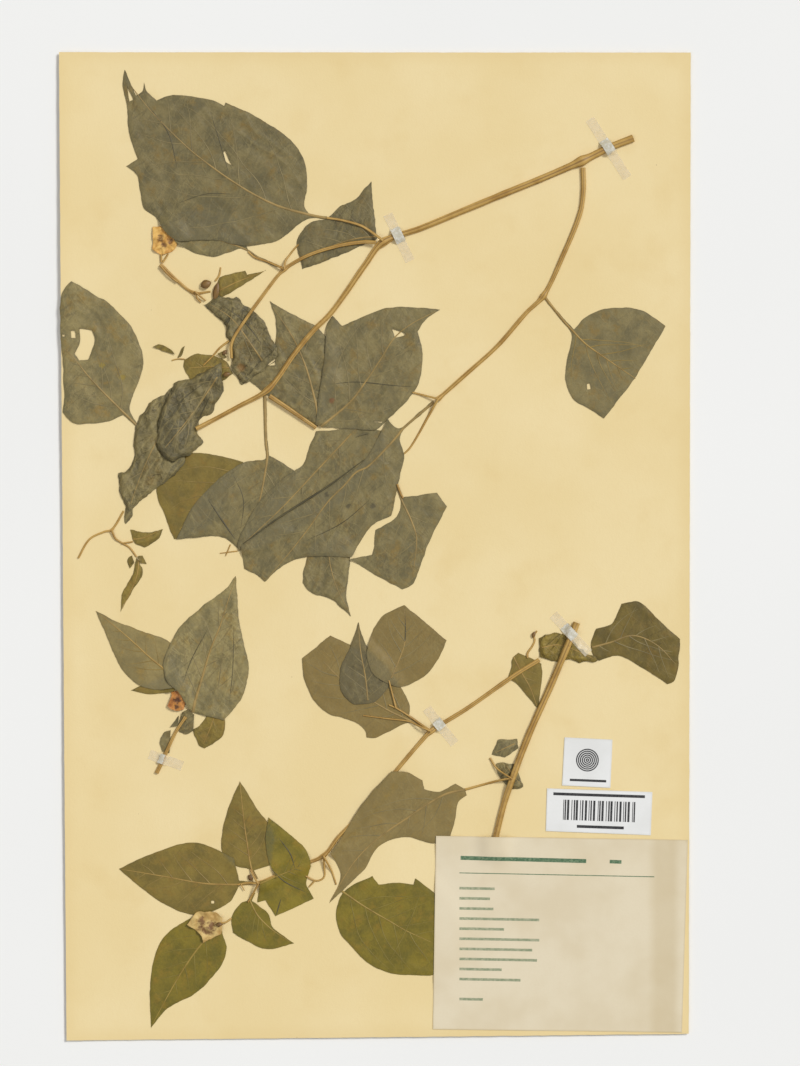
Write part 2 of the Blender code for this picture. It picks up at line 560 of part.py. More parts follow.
# Lower sprig
flat_piece("stem_leaf_outer", STEM_LEAF_OUTER, LEAF_GREY)
flat_piece("stem_leaf_inner", STEM_LEAF_INNER, LEAF_OLIVE)
flat_piece("stem_leaf_across", STEM_LEAF_ACROSS, LEAF_OLIVE)
flat_piece("stem_leaf_small", STEM_LEAF_SMALL, LEAF_GREY)
flat_piece("stem_leaf_torn", STEM_LEAF_TORN, LEAF_GREY)
flat_piece("lower_leaf_wide", LOWER_LEAF_WIDE, LEAF_GREY)
flat_piece("lower_leaf_middle", LOWER_LEAF_MIDDLE, LEAF_GREY)
flat_piece("lower_leaf_folded", LOWER_LEAF_FOLDED, LEAF_GREY)
flat_piece("lower_leaf_label", LOWER_LEAF_LABEL, LEAF_GREEN)
flat_piece("lower_leaf_north", LOWER_LEAF_NORTH, LEAF_OLIVE)
flat_piece("lower_leaf_west", LOWER_LEAF_WEST, LEAF_OLIVE)
flat_piece("lower_leaf_creased", LOWER_LEAF_CREASED, LEAF_GREEN)
flat_piece("lower_leaf_round", LOWER_LEAF_ROUND, LEAF_GREEN)
flat_piece("lower_leaf_green", LOWER_LEAF_GREEN, LEAF_GREEN)
flat_piece("flower_lower", FLOWER_LOWER, PETAL_PALE, FLOWER_THICKNESS)
stem("lower_main_stem", LOWER_MAIN_STEM, 1.8, 1.4)
stem("thick_stem", THICK_STEM, 2.8, 2.4)
flat_piece("lower_leaf_long", LOWER_LEAF_LONG, LEAF_GREY)

# Labels, then the straps that hold the stems down
label("square_label", SQUARE_LABEL, WHITE_PAPER)
label("narrow_label", NARROW_LABEL, WHITE_PAPER)
label("form_label", FORM_LABEL, LABEL_PAPER)
strap("strap_upper_end", (91.5, 182), (107.5, 157))
strap("strap_upper_fork", (5.5, 141.5), (15, 121.5))
strap("strap_left_stem", (-96, -88.5), (-82, -93.5))
strap("strap_lower_stem", (22, -69), (34, -84))
strap("strap_thick_stem", (76, -29), (91, -45.5))
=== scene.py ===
import math

import bpy
import numpy as np
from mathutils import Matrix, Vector, geometry


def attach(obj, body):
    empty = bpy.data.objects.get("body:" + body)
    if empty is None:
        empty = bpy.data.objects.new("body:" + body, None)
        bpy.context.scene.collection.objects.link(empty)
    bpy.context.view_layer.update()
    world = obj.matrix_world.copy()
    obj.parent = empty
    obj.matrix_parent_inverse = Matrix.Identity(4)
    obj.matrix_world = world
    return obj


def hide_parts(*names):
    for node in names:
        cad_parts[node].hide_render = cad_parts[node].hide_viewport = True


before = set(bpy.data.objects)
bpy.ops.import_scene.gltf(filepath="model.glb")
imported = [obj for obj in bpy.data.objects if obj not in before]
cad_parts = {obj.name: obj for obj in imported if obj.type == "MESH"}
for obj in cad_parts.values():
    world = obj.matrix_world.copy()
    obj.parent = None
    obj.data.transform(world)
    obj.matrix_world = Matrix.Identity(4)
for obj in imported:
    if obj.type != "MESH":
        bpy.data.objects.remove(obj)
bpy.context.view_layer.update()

# A mounted herbarium specimen seen from straight above. All plan sizes below are in
# millimetres, with X across the sheet, Y along it and Z up. Pieces are laid one on
# another: a height field of what has been laid so far says how high the next one lies.
MM = 0.001
CELL = 0.5
LEFT, BOTTOM = -142.0, -218.0
COLUMNS, ROWS = 569, 873
SHEET_THICKNESS = 0.5
LEAF_THICKNESS = 0.14
LEAF_MESH = 0.7
LABEL_THICKNESS = 0.13
STRAP_THICKNESS = 0.1
STEM_FLATNESS = 0.62
RIB_RISE = 0.3
INK_BOTTOM, INK_TOP = -0.02, 0.03
CORNER_TURN = math.radians(50)

# Places of a leaf's materials in its list, after its own paint at 0; the last is painted shade
# along folds
RIB, SIDE_VEIN, FOLD_SHADE = 1, 2, 3

grid_x = LEFT + CELL * np.arange(COLUMNS)
grid_y = BOTTOM + CELL * np.arange(ROWS)
height = np.zeros((ROWS, COLUMNS))
leaf_cover = np.zeros((ROWS, COLUMNS))


# ---------------------------------------------------------------- noise and fields

def lattice(column, row, seed):
    """A number from 0 to 1 for each lattice point."""
    value = np.sin(column * 127.1 + row * 311.7 + seed * 74.7) * 43758.5453
    return value - np.floor(value)


def noise(x, y, size, seed):
    """Smooth noise from -1 to 1 with features about size millimetres across."""
    u, v = np.asarray(x) / size, np.asarray(y) / size
    column, row = np.floor(u), np.floor(v)
    u, v = u - column, v - row
    u = u * u * u * (u * (u * 6 - 15) + 10)
    v = v * v * v * (v * (v * 6 - 15) + 10)
    near = lattice(column, row, seed) * (1 - u) + lattice(column + 1, row, seed) * u
    far = lattice(column, row + 1, seed) * (1 - u) + lattice(column + 1, row + 1, seed) * u
    return 2 * (near * (1 - v) + far * v) - 1


def creases(x, y, size, stretch, turn, seed):
    """Sharp wandering ridges from 0 to 1, drawn out along the direction turn."""
    bend = noise(x, y, size * 3, seed + 11) * size * 0.9
    along = (x * math.cos(turn) + y * math.sin(turn)) / stretch
    across = y * math.cos(turn) - x * math.sin(turn)
    return 1 - np.abs(noise(along + bend, across + bend * 0.6, size, seed)) * 1.6


def widest(field, reach):
    """Each cell takes the highest value within reach cells."""
    for axis in (0, 1):
        field = np.max([np.roll(field, k, axis) for k in range(-reach, reach + 1)], axis=0)
    return field


def soften(field, reach):
    """Each cell takes the mean of the cells within reach."""
    for axis in (0, 1):
        field = np.mean([np.roll(field, k, axis) for k in range(-reach, reach + 1)], axis=0)
    return field


def drape(window, reach):
    """A smooth surface that nowhere passes below what is in the window."""
    return soften(soften(widest(height[window], 2 * reach), reach), reach)


def window_round(loops, margin=6.0):
    """The rows and columns of the grid within a margin of the first loop."""
    points = np.array([p[:] for p in loops[0]])
    low, high = points.min(axis=0) - margin, points.max(axis=0) + margin
    c0 = max(int((low[0] - LEFT) / CELL), 0)
    c1 = min(int((high[0] - LEFT) / CELL) + 1, COLUMNS)
    r0 = max(int((low[1] - BOTTOM) / CELL), 0)
    r1 = min(int((high[1] - BOTTOM) / CELL) + 1, ROWS)
    return slice(r0, r1), slice(c0, c1)


def fill(loops, window):
    """True for the cells of the window that lie inside the loops, holes left out."""
    xs, ys = grid_x[window[1]], grid_y[window[0]]
    inside = np.zeros((len(ys), len(xs)), dtype=bool)
    for loop in loops:
        for a, b in zip(loop, loop[1:] + loop[:1]):
            rows = np.nonzero((a.y > ys) != (b.y > ys))[0]
            if len(rows):
                cross = a.x + (ys[rows] - a.y) * (b.x - a.x) / (b.y - a.y)
                inside[rows] ^= xs[None, :] < cross[:, None]
    return inside


def sample(field, window, x, y):
    """Bilinear value of a window's field at points given in millimetres."""
    u = (np.asarray(x) - grid_x[window[1]][0]) / CELL
    v = (np.asarray(y) - grid_y[window[0]][0]) / CELL
    u = np.clip(u, 0, field.shape[1] - 1.001)
    v = np.clip(v, 0, field.shape[0] - 1.001)
    column, row = u.astype(int), v.astype(int)
    u, v = u - column, v - row
    low = field[row, column] * (1 - u) + field[row, column + 1] * u
    high = field[row + 1, column] * (1 - u) + field[row + 1, column + 1] * u
    return low * (1 - v) + high * v


WHOLE = (slice(0, ROWS), slice(0, COLUMNS))


# ---------------------------------------------------------------- outlines and meshes

def node_loops(node_name):
    """The outline and the holes of a flat CAD node, in millimetres, longest loop first."""
    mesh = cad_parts[node_name].data
    keys = [tuple(round(c / MM, 2) for c in v.co) for v in mesh.vertices]
    following = {}
    for face in mesh.polygons:
        if face.normal.z > 0.2:
            ring = [keys[i] for i in face.vertices]
            for a, b in zip(ring, ring[1:] + ring[:1]):
                following[(a, b)] = True
    border = {a: b for a, b in following if (b, a) not in following}
    loops = []
    while border:
        start, here = border.popitem()
        loop = [Vector(start[:2])]
        while here != start:
            loop.append(Vector(here[:2]))
            here = border.pop(here)
        loops.append(loop)
    return sorted(loops, key=len, reverse=True)


def curve(points, step, closed=False):
    """A smooth line through the points that keeps sharp corners, sampled every step."""
    points = [Vector(p) for p in points]
    count = len(points)
    slopes = []
    for i, here in enumerate(points):
        before = points[i - 1] if closed or i > 0 else here
        after = points[(i + 1) % count] if closed or i < count - 1 else here
        sharp = before != here and after != here
        sharp = sharp and (here - before).angle(after - here) > CORNER_TURN
        slopes.append(None if sharp else (after - before).normalized())
    line = []
    for i in range(count if closed else count - 1):
        start, end = points[i], points[(i + 1) % count]
        chord = end - start
        first = (slopes[i] or chord.normalized()) * chord.length
        last = (slopes[(i + 1) % count] or chord.normalized()) * chord.length
        parts = max(1, math.ceil(chord.length / step))
        for k in range(parts):
            t = k / parts
            line.append(start * (2 * t ** 3 - 3 * t ** 2 + 1) + first * (t ** 3 - 2 * t ** 2 + t)
                        + end * (3 * t ** 2 - 2 * t ** 3) + last * (t ** 3 - t ** 2))
    if not closed:
        line.append(points[-1])
    return line


def ragged(loop, seed, amount):
    """The loop with its points moved in and out a little, like a dried leaf's margin."""
    result = []
    for i, here in enumerate(loop):
        along = (loop[(i + 1) % len(loop)] - loop[i - 1]).normalized()
        shift = 0.65 * noise(here.x, here.y, 3.6, seed) + 0.35 * noise(here.x, here.y, 1.3, seed)
        if amount > 0.5:
            shift += 0.8 * noise(here.x, here.y, 5.5, seed + 2)
        result.append(here + Vector((along.y, -along.x)) * float(shift) * amount)
    return result


def fill_with_triangles(loops, cell):
    """Plan points and triangles that fill the loops and leave the holes open."""
    points, edges = [], []
    for loop in loops:
        first = len(points)
        points += loop
        edges += [(first + i, first + (i + 1) % len(loop)) for i in range(len(loop))]
    window = window_round(loops, 1.0)
    inside = fill(loops, window).astype(float)
    rims = np.array([p[:] for p in points])
    xs, ys = grid_x[window[1]], grid_y[window[0]]
    row_step = cell * math.sqrt(3) / 2
    for row in range(int((ys[-1] - ys[0]) / row_step) + 1):
        y = ys[0] + row * row_step
        x = np.arange(xs[0] + cell / 2 * (row % 2), xs[-1], cell)
        x = x[sample(inside, window, x, np.full(len(x), y)) > 0.99]
        near = rims[np.abs(rims[:, 1] - y) < cell]
        if len(near) and len(x):
            gap = np.hypot(x[:, None] - near[None, :, 0], y - near[None, :, 1]).min(axis=1)
            x = x[gap > cell * 0.5]
        points += [Vector((float(value), y)) for value in x]
    made = geometry.delaunay_2d_cdt(points, edges, [], 0, 1e-5)
    plan = np.array([p[:] for p in made[0]])
    triangles = np.array([t[:] for t in made[2]])
    corners = plan[triangles]
    middle = corners.mean(axis=1)
    keep = np.zeros(len(middle), dtype=bool)
    for loop in loops:
        for a, b in zip(loop, loop[1:] + loop[:1]):
            rows = (a.y > middle[:, 1]) != (b.y > middle[:, 1])
            if rows.any():
                cross = a.x + (middle[rows, 1] - a.y) * (b.x - a.x) / (b.y - a.y)
                keep[rows] ^= middle[rows, 0] < cross
    first, second = corners[:, 1] - corners[:, 0], corners[:, 2] - corners[:, 0]
    area = first[:, 0] * second[:, 1] - first[:, 1] * second[:, 0]
    triangles = triangles[keep & (np.abs(area) > 1e-4)]
    used = np.unique(triangles)
    place = np.zeros(len(plan), dtype=int)
    place[used] = np.arange(len(used))
    return plan[used], place[triangles]


def border_edges(triangles):
    """The sides that belong to one triangle only."""
    sides = {}
    for a, b, c in triangles:
        for side in ((a, b), (b, c), (c, a)):
            sides[side] = True
    return [(a, b) for a, b in sides if (b, a) not in sides]


class Shape:
    """Vertices, faces, a material number per face and named numbers per vertex."""

    def __init__(self):
        self.vertices, self.faces, self.materials = [], [], []
        self.values = {}

    def add(self, vertices, faces, material=0, **values):
        first = len(self.vertices)
        self.vertices += [tuple(v) for v in vertices]
        self.faces += [tuple(i + first for i in face) for face in faces]
        self.materials += [material] * len(faces)
        for name in sorted(set(values) | set(self.values)):
            kept = self.values.setdefault(name, [0.0] * first)
            given = values.get(name, 0.0)
            if np.ndim(given) == 0:
                given = [float(given)] * len(vertices)
            kept += [float(v) for v in given]

    def make(self, name, materials, slot, nodes=()):
        mesh = bpy.data.meshes.new(name)
        mesh.from_pydata((np.array(self.vertices) * MM).tolist(), [], self.faces)
        mesh.update()
        for material in materials:
            mesh.materials.append(material)
        mesh.polygons.foreach_set("material_index", self.materials)
        mesh.polygons.foreach_set("use_smooth", [True] * len(self.faces))
        mesh.set_sharp_from_angle(angle=CORNER_TURN)
        for label, numbers in self.values.items():
            layer = mesh.attributes.new(label, "FLOAT", "POINT")
            layer.data.foreach_set("value", numbers)
        piece = bpy.data.objects.new(name, mesh)
        bpy.context.scene.collection.objects.link(piece)
        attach(piece, "root")
        if nodes:
            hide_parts(*nodes)
        return piece


def slab(shape, plan, triangles, top, bottom, **values):
    """A thin closed body between two heights over the same plan."""
    count = len(plan)
    vertices = np.vstack([np.column_stack([plan, top]), np.column_stack([plan, bottom])])
    faces = [tuple(t) for t in triangles]
    faces += [(c + count, b + count, a + count) for a, b, c in triangles]
    faces += [(b, a, a + count, b + count) for a, b in border_edges(triangles)]
    doubled = {name: np.tile(np.broadcast_to(v, count), 2) for name, v in values.items()}
    shape.add(vertices, faces, **doubled)


def ring_faces(count, sides):
    """The faces of a closed body made of count rings that have sides corners each."""
    faces = [tuple(range(sides))]
    for ring in range(count - 1):
        for k in range(sides):
            a, b = ring * sides + k, ring * sides + (k + 1) % sides
            faces.append((b, a, a + sides, b + sides))
    faces.append(tuple(reversed(range((count - 1) * sides, count * sides))))
    return faces


def plan_and_sides(line):
    """The points of a line as an array, and the unit vector to the right at each."""
    plan = np.array([p[:] for p in line])
    ahead = np.gradient(plan, axis=0)
    ahead /= np.linalg.norm(ahead, axis=1)[:, None] + 1e-9
    return plan, np.column_stack([ahead[:, 1], -ahead[:, 0]])


def strip(shape, line, widths, ground, window, material):
    """A low rounded ridge along a line, resting on the field called ground."""
    line, side = plan_and_sides(line)
    profile = [(-1.0, 0.0), (-0.62, 0.8), (0.0, 1.0), (0.62, 0.8), (1.0, 0.0), (0.0, -0.3)]
    vertices = []
    for spot, right, width in zip(line, side, widths):
        for out, up in profile:
            x, y = spot + right * out * width / 2
            z = sample(ground, window, x, y) - 0.03 + max(up, 0.0) * RIB_RISE * width + up * 0.02
            vertices.append((x, y, float(z)))
    shape.add(vertices, ring_faces(len(line), len(profile)), material)


# ---------------------------------------------------------------- materials

def linear(red, green, blue):
    """A colour given as 0-255 screen values, as the linear values the shaders use."""
    result = []
    for value in (red, green, blue):
        value /= 255
        result.append(value / 12.92 if value < 0.04045 else ((value + 0.055) / 1.055) ** 2.4)
    return (*result, 1.0)


class Paint:
    """Short names for building a procedural Principled material."""

    def __init__(self, name, roughness):
        self.material = bpy.data.materials.new(name)
        self.material.use_nodes = True
        self.tree = self.material.node_tree
        self.shader = self.tree.nodes["Principled BSDF"]
        self.shader.inputs["Roughness"].default_value = roughness
        self.place = self.node("TexCoord", "Object", {})

    def put(self, socket, value):
        if isinstance(value, bpy.types.NodeSocket):
            self.tree.links.new(value, socket)
        else:
            socket.default_value = value

    def node(self, kind, output, inputs, **settings):
        """A new node with these settings and inputs. Returns the output asked for."""
        node = self.tree.nodes.new("ShaderNode" + kind)
        for name, value in settings.items():
            setattr(node, name, value)
        for key, value in inputs.items():
            self.put(node.inputs[key], value)
        return node.outputs[output]

    def number(self, operation, a, b=0.0):
        return self.node("Math", 0, {0: a, 1: b}, operation=operation)

    def times(self, a, b):
        return self.number("MULTIPLY", a, b)

    def less(self, value):
        """1 minus the value."""
        return self.number("SUBTRACT", 1.0, value)

    def band(self, value, low, high):
        """0 below low, 1 above high and a smooth step between."""
        return self.node("MapRange", "Result",
                         {"Value": value, "From Min": low, "From Max": high},
                         interpolation_type="SMOOTHSTEP")

    def mix(self, share, a, b):
        return self.node("Mix", 2, {0: share, 6: a, 7: b}, data_type="RGBA")

    def tint(self, colour, other, amount, share):
        """The colour turned towards another by amount times share."""
        return self.mix(self.times(amount, share), colour, other)

    def cloud(self, millimetres, detail=3.0, roughness=0.55, stretch=(1, 1, 1)):
        """Noise whose features are about this many millimetres across."""
        place = self.node("Mapping", 0, {"Vector": self.place, "Scale": stretch})
        return self.node("TexNoise", "Fac",
                         {"Vector": place, "Scale": 1000 / millimetres, "Detail": detail,
                          "Roughness": roughness})

    def patches(self, millimetres, low, high, *look):
        """Soft patches: 0 where a cloud is below low and 1 where it is above high."""
        return self.band(self.cloud(millimetres, *look), low, high)

    def lines(self, millimetres, thin, stretch, turn, detail=2.0):
        """Thin wandering lines, drawn out along the direction turn."""
        place = self.node("Mapping", 0, {"Vector": self.place, "Rotation": (0, 0, turn),
                                         "Scale": (stretch, 1, 1)}, vector_type="TEXTURE")
        field = self.node("TexNoise", "Fac", {"Vector": place, "Scale": 1000 / millimetres,
                                              "Detail": detail})
        off = self.number("ABSOLUTE", self.number("SUBTRACT", field, 0.5))
        return self.less(self.band(off, 0.0, thin))

    def scaled(self, colour, factor):
        return self.node("VectorMath", 0, {0: colour, "Scale": factor}, operation="SCALE")

    def cells(self, millimetres, feature="F1"):
        return self.node("TexVoronoi", "Distance",
                         {"Vector": self.place, "Scale": 1000 / millimetres}, feature=feature)

    def value(self, name):
        """A number that the shape carries at its vertices."""
        return self.node("Attribute", "Fac", {}, attribute_name=name)

    def near(self, x, y, reach, soft):
        """1 round a place given in millimetres, falling to 0 at reach."""
        off = self.node("VectorMath", 0, {0: self.place, 1: (x * MM, y * MM, 0)},
                        operation="SUBTRACT")
        flat = self.node("VectorMath", 0, {0: off, 1: (1, 1, 0)}, operation="MULTIPLY")
        length = self.node("VectorMath", "Value", {0: flat}, operation="LENGTH")
        rim = self.times(self.cloud(1.4), reach * MM * soft)
        edge = self.number("ADD", length, rim)
        return self.less(self.band(edge, reach * MM * 0.75, reach * MM * 1.25))

    def bump(self, value, millimetres, below=None, strength=1.0):
        inputs = {"Strength": strength, "Distance": millimetres * MM, "Height": value}
        if below is not None:
            inputs["Normal"] = below
        return self.node("Bump", "Normal", inputs)

    def finish(self, colour, normal=None, roughness=None):
        for name, value in (("Base Color", colour), ("Normal", normal), ("Roughness", roughness)):
            if value is not None:
                self.put(self.shader.inputs[name], value)
        return self.material


def leaf_paint(name, light, dark, warm, overlap_shade, rim, spots=()):
    """Pressed leaf: fine creases over soft patches, with painted highlights and painted shade
    along its creases, a painted sheen and painted fold shade on crumpled leaves, and painted
    shade where it lies over other leaves.
    """
    paint = Paint(name, 0.62)
    crumple, crease = paint.value("crumple"), paint.value("crease")
    # A lighter copy of the leaf's own colour, used for the painted highlights.
    pale = (*(1.35 * channel for channel in light[:3]), 1.0)
    colour = paint.mix(paint.patches(10, 0.34, 0.66, 6, 0.68), light, dark)
    colour = paint.mix(paint.patches(6, 0.5, 0.72, 5, 0.65), colour, warm)
    colour = paint.mix(paint.value("warm"), colour, warm)
    # Painted shade where this leaf lies over another: it stands in for the lit paper no longer
    # showing through the thin leaf.
    colour = paint.tint(colour, overlap_shade, paint.value("under"), 0.6)
    net = paint.less(paint.band(paint.cells(1.8, "DISTANCE_TO_EDGE"), 0.0, 0.13))
    colour = paint.tint(colour, warm, net, 0.16)
    colour = paint.tint(colour, dark, paint.patches(0.8, 0.35, 0.7, 3, 0.7), 0.3)
    patch = paint.patches(15, 0.4, 0.62, 2)
    other = paint.patches(11, 0.42, 0.6, 2)
    wrinkle = paint.lines(5.0, 0.026, 5.0, 0.8, 1.0)
    crossing = paint.lines(4.0, 0.024, 4.0, 2.3, 1.0)
    fine = paint.lines(2.2, 0.04, 2.4, 1.5)
    force = paint.number("ADD", 0.12, paint.times(crumple, 0.7))
    # Painted shade along the wrinkle lines, and painted highlights along the crossing and fine
    # lines, the same lines that the bumps below crease.
    for line, mask, tone in ((wrinkle, patch, rim), (crossing, other, pale), (fine, patch, pale)):
        colour = paint.tint(colour, tone, paint.times(line, mask), force)
    # Painted shade along fold lines on crumpled leaves.
    folds = paint.lines(3.0, 0.05, 1.5, 0.2)
    colour = paint.tint(colour, rim, paint.times(folds, crumple), 0.3)
    # A painted sheen: pale streaks of highlight on crumpled leaves.
    painted_sheen = paint.band(paint.lines(5.0, 0.08, 3.4, 1.1, 1.0), 0.3, 1.0)
    colour = paint.tint(colour, pale, paint.times(painted_sheen, crumple), 0.5)
    # Painted highlight on the crests of the leaf's relief, and painted shade in its valleys.
    colour = paint.tint(colour, pale, paint.band(crease, 0.15, 1.0), 0.4)
    colour = paint.tint(colour, rim, paint.band(paint.times(crease, -1.0), 0.1, 1.0), 0.45)
    for x, y, reach, tone in spots:
        colour = paint.tint(colour, tone, paint.near(x, y, reach, 1.0), 0.7)
    colour = paint.tint(colour, rim, paint.band(paint.value("edge"), 0.5, 1.0), 0.2)
    colour = paint.scaled(colour, paint.value("light"))
    normal = paint.bump(paint.cloud(0.9, 3), 0.10)
    normal = paint.bump(wrinkle, 0.16, normal, force)
    normal = paint.bump(crossing, 0.13, normal, force)
    normal = paint.bump(paint.cloud(3.0, 4, 0.6), 0.9, normal, crumple)
    rough = paint.number("ADD", 0.46, paint.times(paint.cloud(4, 3), 0.3))
    return paint.finish(colour, normal, rough)


def vein_paint(name, light, dark):
    paint = Paint(name, 0.55)
    colour = paint.mix(paint.patches(6, 0.35, 0.7), light, dark)
    return paint.finish(colour, paint.bump(paint.cloud(0.7, 2), 0.05))


def stem_paint(name, light, dark, groove):
    """Dried stem: golden tan with painted shade in its lengthwise grooves, and darker blotches.
    """
    paint = Paint(name, 0.5)
    colour = paint.mix(paint.patches(7, 0.38, 0.7, 4), light, dark)
    # Painted shade in the grooves between the ribs.
    colour = paint.tint(colour, groove, paint.band(paint.value("groove"), 0.25, 0.9), 0.75)
    colour = paint.tint(colour, groove, paint.patches(1.3, 0.6, 0.8, 2), 0.5)
    return paint.finish(colour, paint.bump(paint.cloud(0.8, 3), 0.08))


def petal_paint(name, light, dark, spots, spot_colour):
    """Dried corolla: thin, yellowed, with darker blotches at its throat and painted highlights on
    its crease crests.
    """
    paint = Paint(name, 0.6)
    colour = paint.mix(paint.patches(3.5, 0.35, 0.7, 4), light, dark)
    for x, y, reach in spots:
        colour = paint.tint(colour, spot_colour, paint.near(x, y, reach, 1.3), 0.85)
    # Painted highlight on the crests of the petal's creases.
    colour = paint.tint(colour, light, paint.band(paint.value("crease"), 0.1, 0.8), 0.35)
    colour = paint.tint(colour, dark, paint.band(paint.value("edge"), 0.5, 1.0), 0.5)
    return paint.finish(colour, paint.bump(paint.cloud(0.7, 3), 0.12))


def sheet_paint():
    """Old mounting card: cream, yellower at the edges, mottled, with a few specks."""
    paint = Paint("mounting_card", 0.85)
    cream, warm, pale = linear(239, 216, 160), linear(230, 202, 140), linear(243, 222, 170)
    colour = paint.mix(paint.patches(70, 0.35, 0.65), cream, pale)
    colour = paint.tint(colour, warm, paint.patches(22, 0.5, 0.8, 4), 0.35)
    colour = paint.tint(colour, warm, paint.band(paint.value("edge"), 0.2, 1.0), 0.3)
    colour = paint.tint(colour, warm, paint.patches(0.9, 0.3, 0.75, 4, 0.7, (1, 0.35, 1)), 0.12)
    speck = paint.times(paint.less(paint.band(paint.cells(9), 0.012, 0.03)),
                        paint.patches(14, 0.5, 0.56, 1))
    colour = paint.tint(colour, linear(120, 80, 40), speck, 0.55)
    return paint.finish(colour, paint.bump(paint.cloud(0.8, 4, 0.7), 0.05))


def paper_paint(name, light, dark, shade):
    paint = Paint(name, 0.8)
    colour = paint.mix(paint.patches(24, 0.35, 0.7), light, dark)
    colour = paint.tint(colour, dark, paint.patches(0.8, 0.35, 0.75, 3, 0.7), 0.25)
    colour = paint.tint(colour, shade, paint.band(paint.value("edge"), 0.5, 1.0), 0.35)
    colour = paint.mix(paint.value("band"), colour, shade)
    return paint.finish(colour, paint.bump(paint.cloud(0.7, 3), 0.03))


def ink_paint(name, colour, paler):
    paint = Paint(name, 0.7)
    return paint.finish(paint.mix(paint.patches(0.8, 0.35, 0.7, 2), colour, paler))


def tape_paint(name, colour, streak_and_glint, alpha):
    paint = Paint(name, 0.32)
    # The streaks are darker on the clear tape, and lighter, a painted glint, on the tape over the
    # stem.
    mixed = paint.mix(paint.patches(1.5, 0.4, 0.7, 3, 0.6), colour, streak_and_glint)
    paint.shader.inputs["Alpha"].default_value = alpha
    return paint.finish(mixed, paint.bump(paint.cloud(1.2, 3), 0.12))


# Each leaf paint takes light, dark and warm tones, the painted shade over other leaves, and a
# dark tone for its margin and its painted crease shade.
LEAF_PAINTS = {
    "leaf_grey": leaf_paint("leaf_grey", linear(136, 122, 77), linear(104, 95, 60),
                            linear(134, 110, 52), linear(108, 101, 72), linear(70, 63, 42),
                            [(-116, 77, 2.2, linear(150, 128, 40)),
                             (-107.5, 72, 2.6, linear(146, 124, 44)),
                             (-18.5, 62, 2.2, linear(120, 72, 34)),
                             (-57, 76, 3.2, linear(150, 108, 48)),
                             (-11.2, 17, 2.1, linear(72, 66, 46)),
                             (-0.8, 17.2, 2.3, linear(74, 68, 48)),
                             (-20.5, 22, 2.0, linear(74, 68, 48))]),
    "leaf_olive": leaf_paint("leaf_olive", linear(138, 117, 46), linear(110, 94, 34),
                             linear(138, 110, 38), linear(98, 94, 62), linear(76, 64, 30)),
    "leaf_green": leaf_paint("leaf_green", linear(132, 115, 24), linear(102, 92, 16),
                             linear(138, 112, 24), linear(90, 90, 58), linear(68, 60, 18)),
}
VEIN_PAINTS = {
    "leaf_grey": (vein_paint("rib_grey", linear(166, 138, 80), linear(138, 116, 68)),
                  vein_paint("vein_grey", linear(142, 126, 82), linear(118, 106, 70))),
    "leaf_olive": (vein_paint("rib_olive", linear(172, 140, 72), linear(144, 114, 54)),
                   vein_paint("vein_olive", linear(150, 126, 66), linear(124, 104, 50))),
    "leaf_green": (vein_paint("rib_green", linear(164, 138, 64), linear(138, 114, 46)),
                   vein_paint("vein_green", linear(138, 122, 52), linear(112, 100, 38))),
}
# Painted shade: dark ridges laid along folds where shade falls.
PAINTED_FOLD_SHADE = vein_paint("painted_fold_shade", linear(88, 80, 52), linear(72, 66, 44))
STEM_PAINT = stem_paint("stem_bark", linear(196, 158, 84), linear(168, 128, 58),
                        linear(118, 82, 34))
BROWN_PAINT = stem_paint("dry_calyx", linear(130, 96, 44), linear(104, 74, 36),
                         linear(66, 44, 22))
TAPE_CLEAR = tape_paint("tape_over_card", linear(246, 240, 222), linear(236, 226, 200), 0.2)
# Painted glare: the strap over the stem made whiter and nearly opaque.
TAPE_GLARE = tape_paint("tape_over_stem", linear(214, 208, 186), linear(240, 238, 228), 0.8)
CARD_PAINT = sheet_paint()
FORM_PAPER = paper_paint("form_paper", linear(232, 219, 190), linear(224, 209, 177),
                         linear(196, 174, 128))
WHITE_PAPER = paper_paint("label_white", linear(240, 240, 238), linear(230, 230, 227),
                          linear(206, 204, 196))
GREEN_INK = ink_paint("printed_green", linear(74, 108, 76), linear(120, 142, 110))
FAINT_INK = ink_paint("printed_faint", linear(140, 150, 118), linear(176, 176, 146))
BLACK_INK = ink_paint("printed_black", linear(38, 38, 40), linear(66, 66, 66))
PETAL_PAINTS = {
    "flower_upper": petal_paint("petal_yellow", linear(236, 190, 104), linear(196, 140, 58),
                                [(-91.2, 131, 3.6), (-89.6, 128.2, 3.4), (-87.2, 129.8, 3.2)],
                                linear(96, 60, 34)),
    "flower_left": petal_paint("petal_orange", linear(206, 140, 64), linear(150, 88, 34),
                               [(-84, -65.4, 4.2), (-83.8, -68.2, 3.2)], linear(52, 26, 22)),
    "flower_lower": petal_paint("petal_pale", linear(216, 186, 118), linear(180, 142, 76),
                                [(-74.0, -159.4, 4.4), (-73.2, -162.6, 4.6),
                                 (-70.8, -164, 4.6), (-69.4, -161.4, 4.4)],
                                linear(108, 66, 32)),
}


# ---------------------------------------------------------------- the mounting card

def edge_distance(plan, loops):
    """How far each plan point is from the nearest point of the loops."""
    rims = np.array([p[:] for loop in loops for p in loop])
    result = np.empty(len(plan))
    for start in range(0, len(plan), 2000):
        part = plan[start:start + 2000]
        gap = np.hypot(part[:, None, 0] - rims[None, :, 0], part[:, None, 1] - rims[None, :, 1])
        result[start:start + 2000] = gap.min(axis=1)
    return result


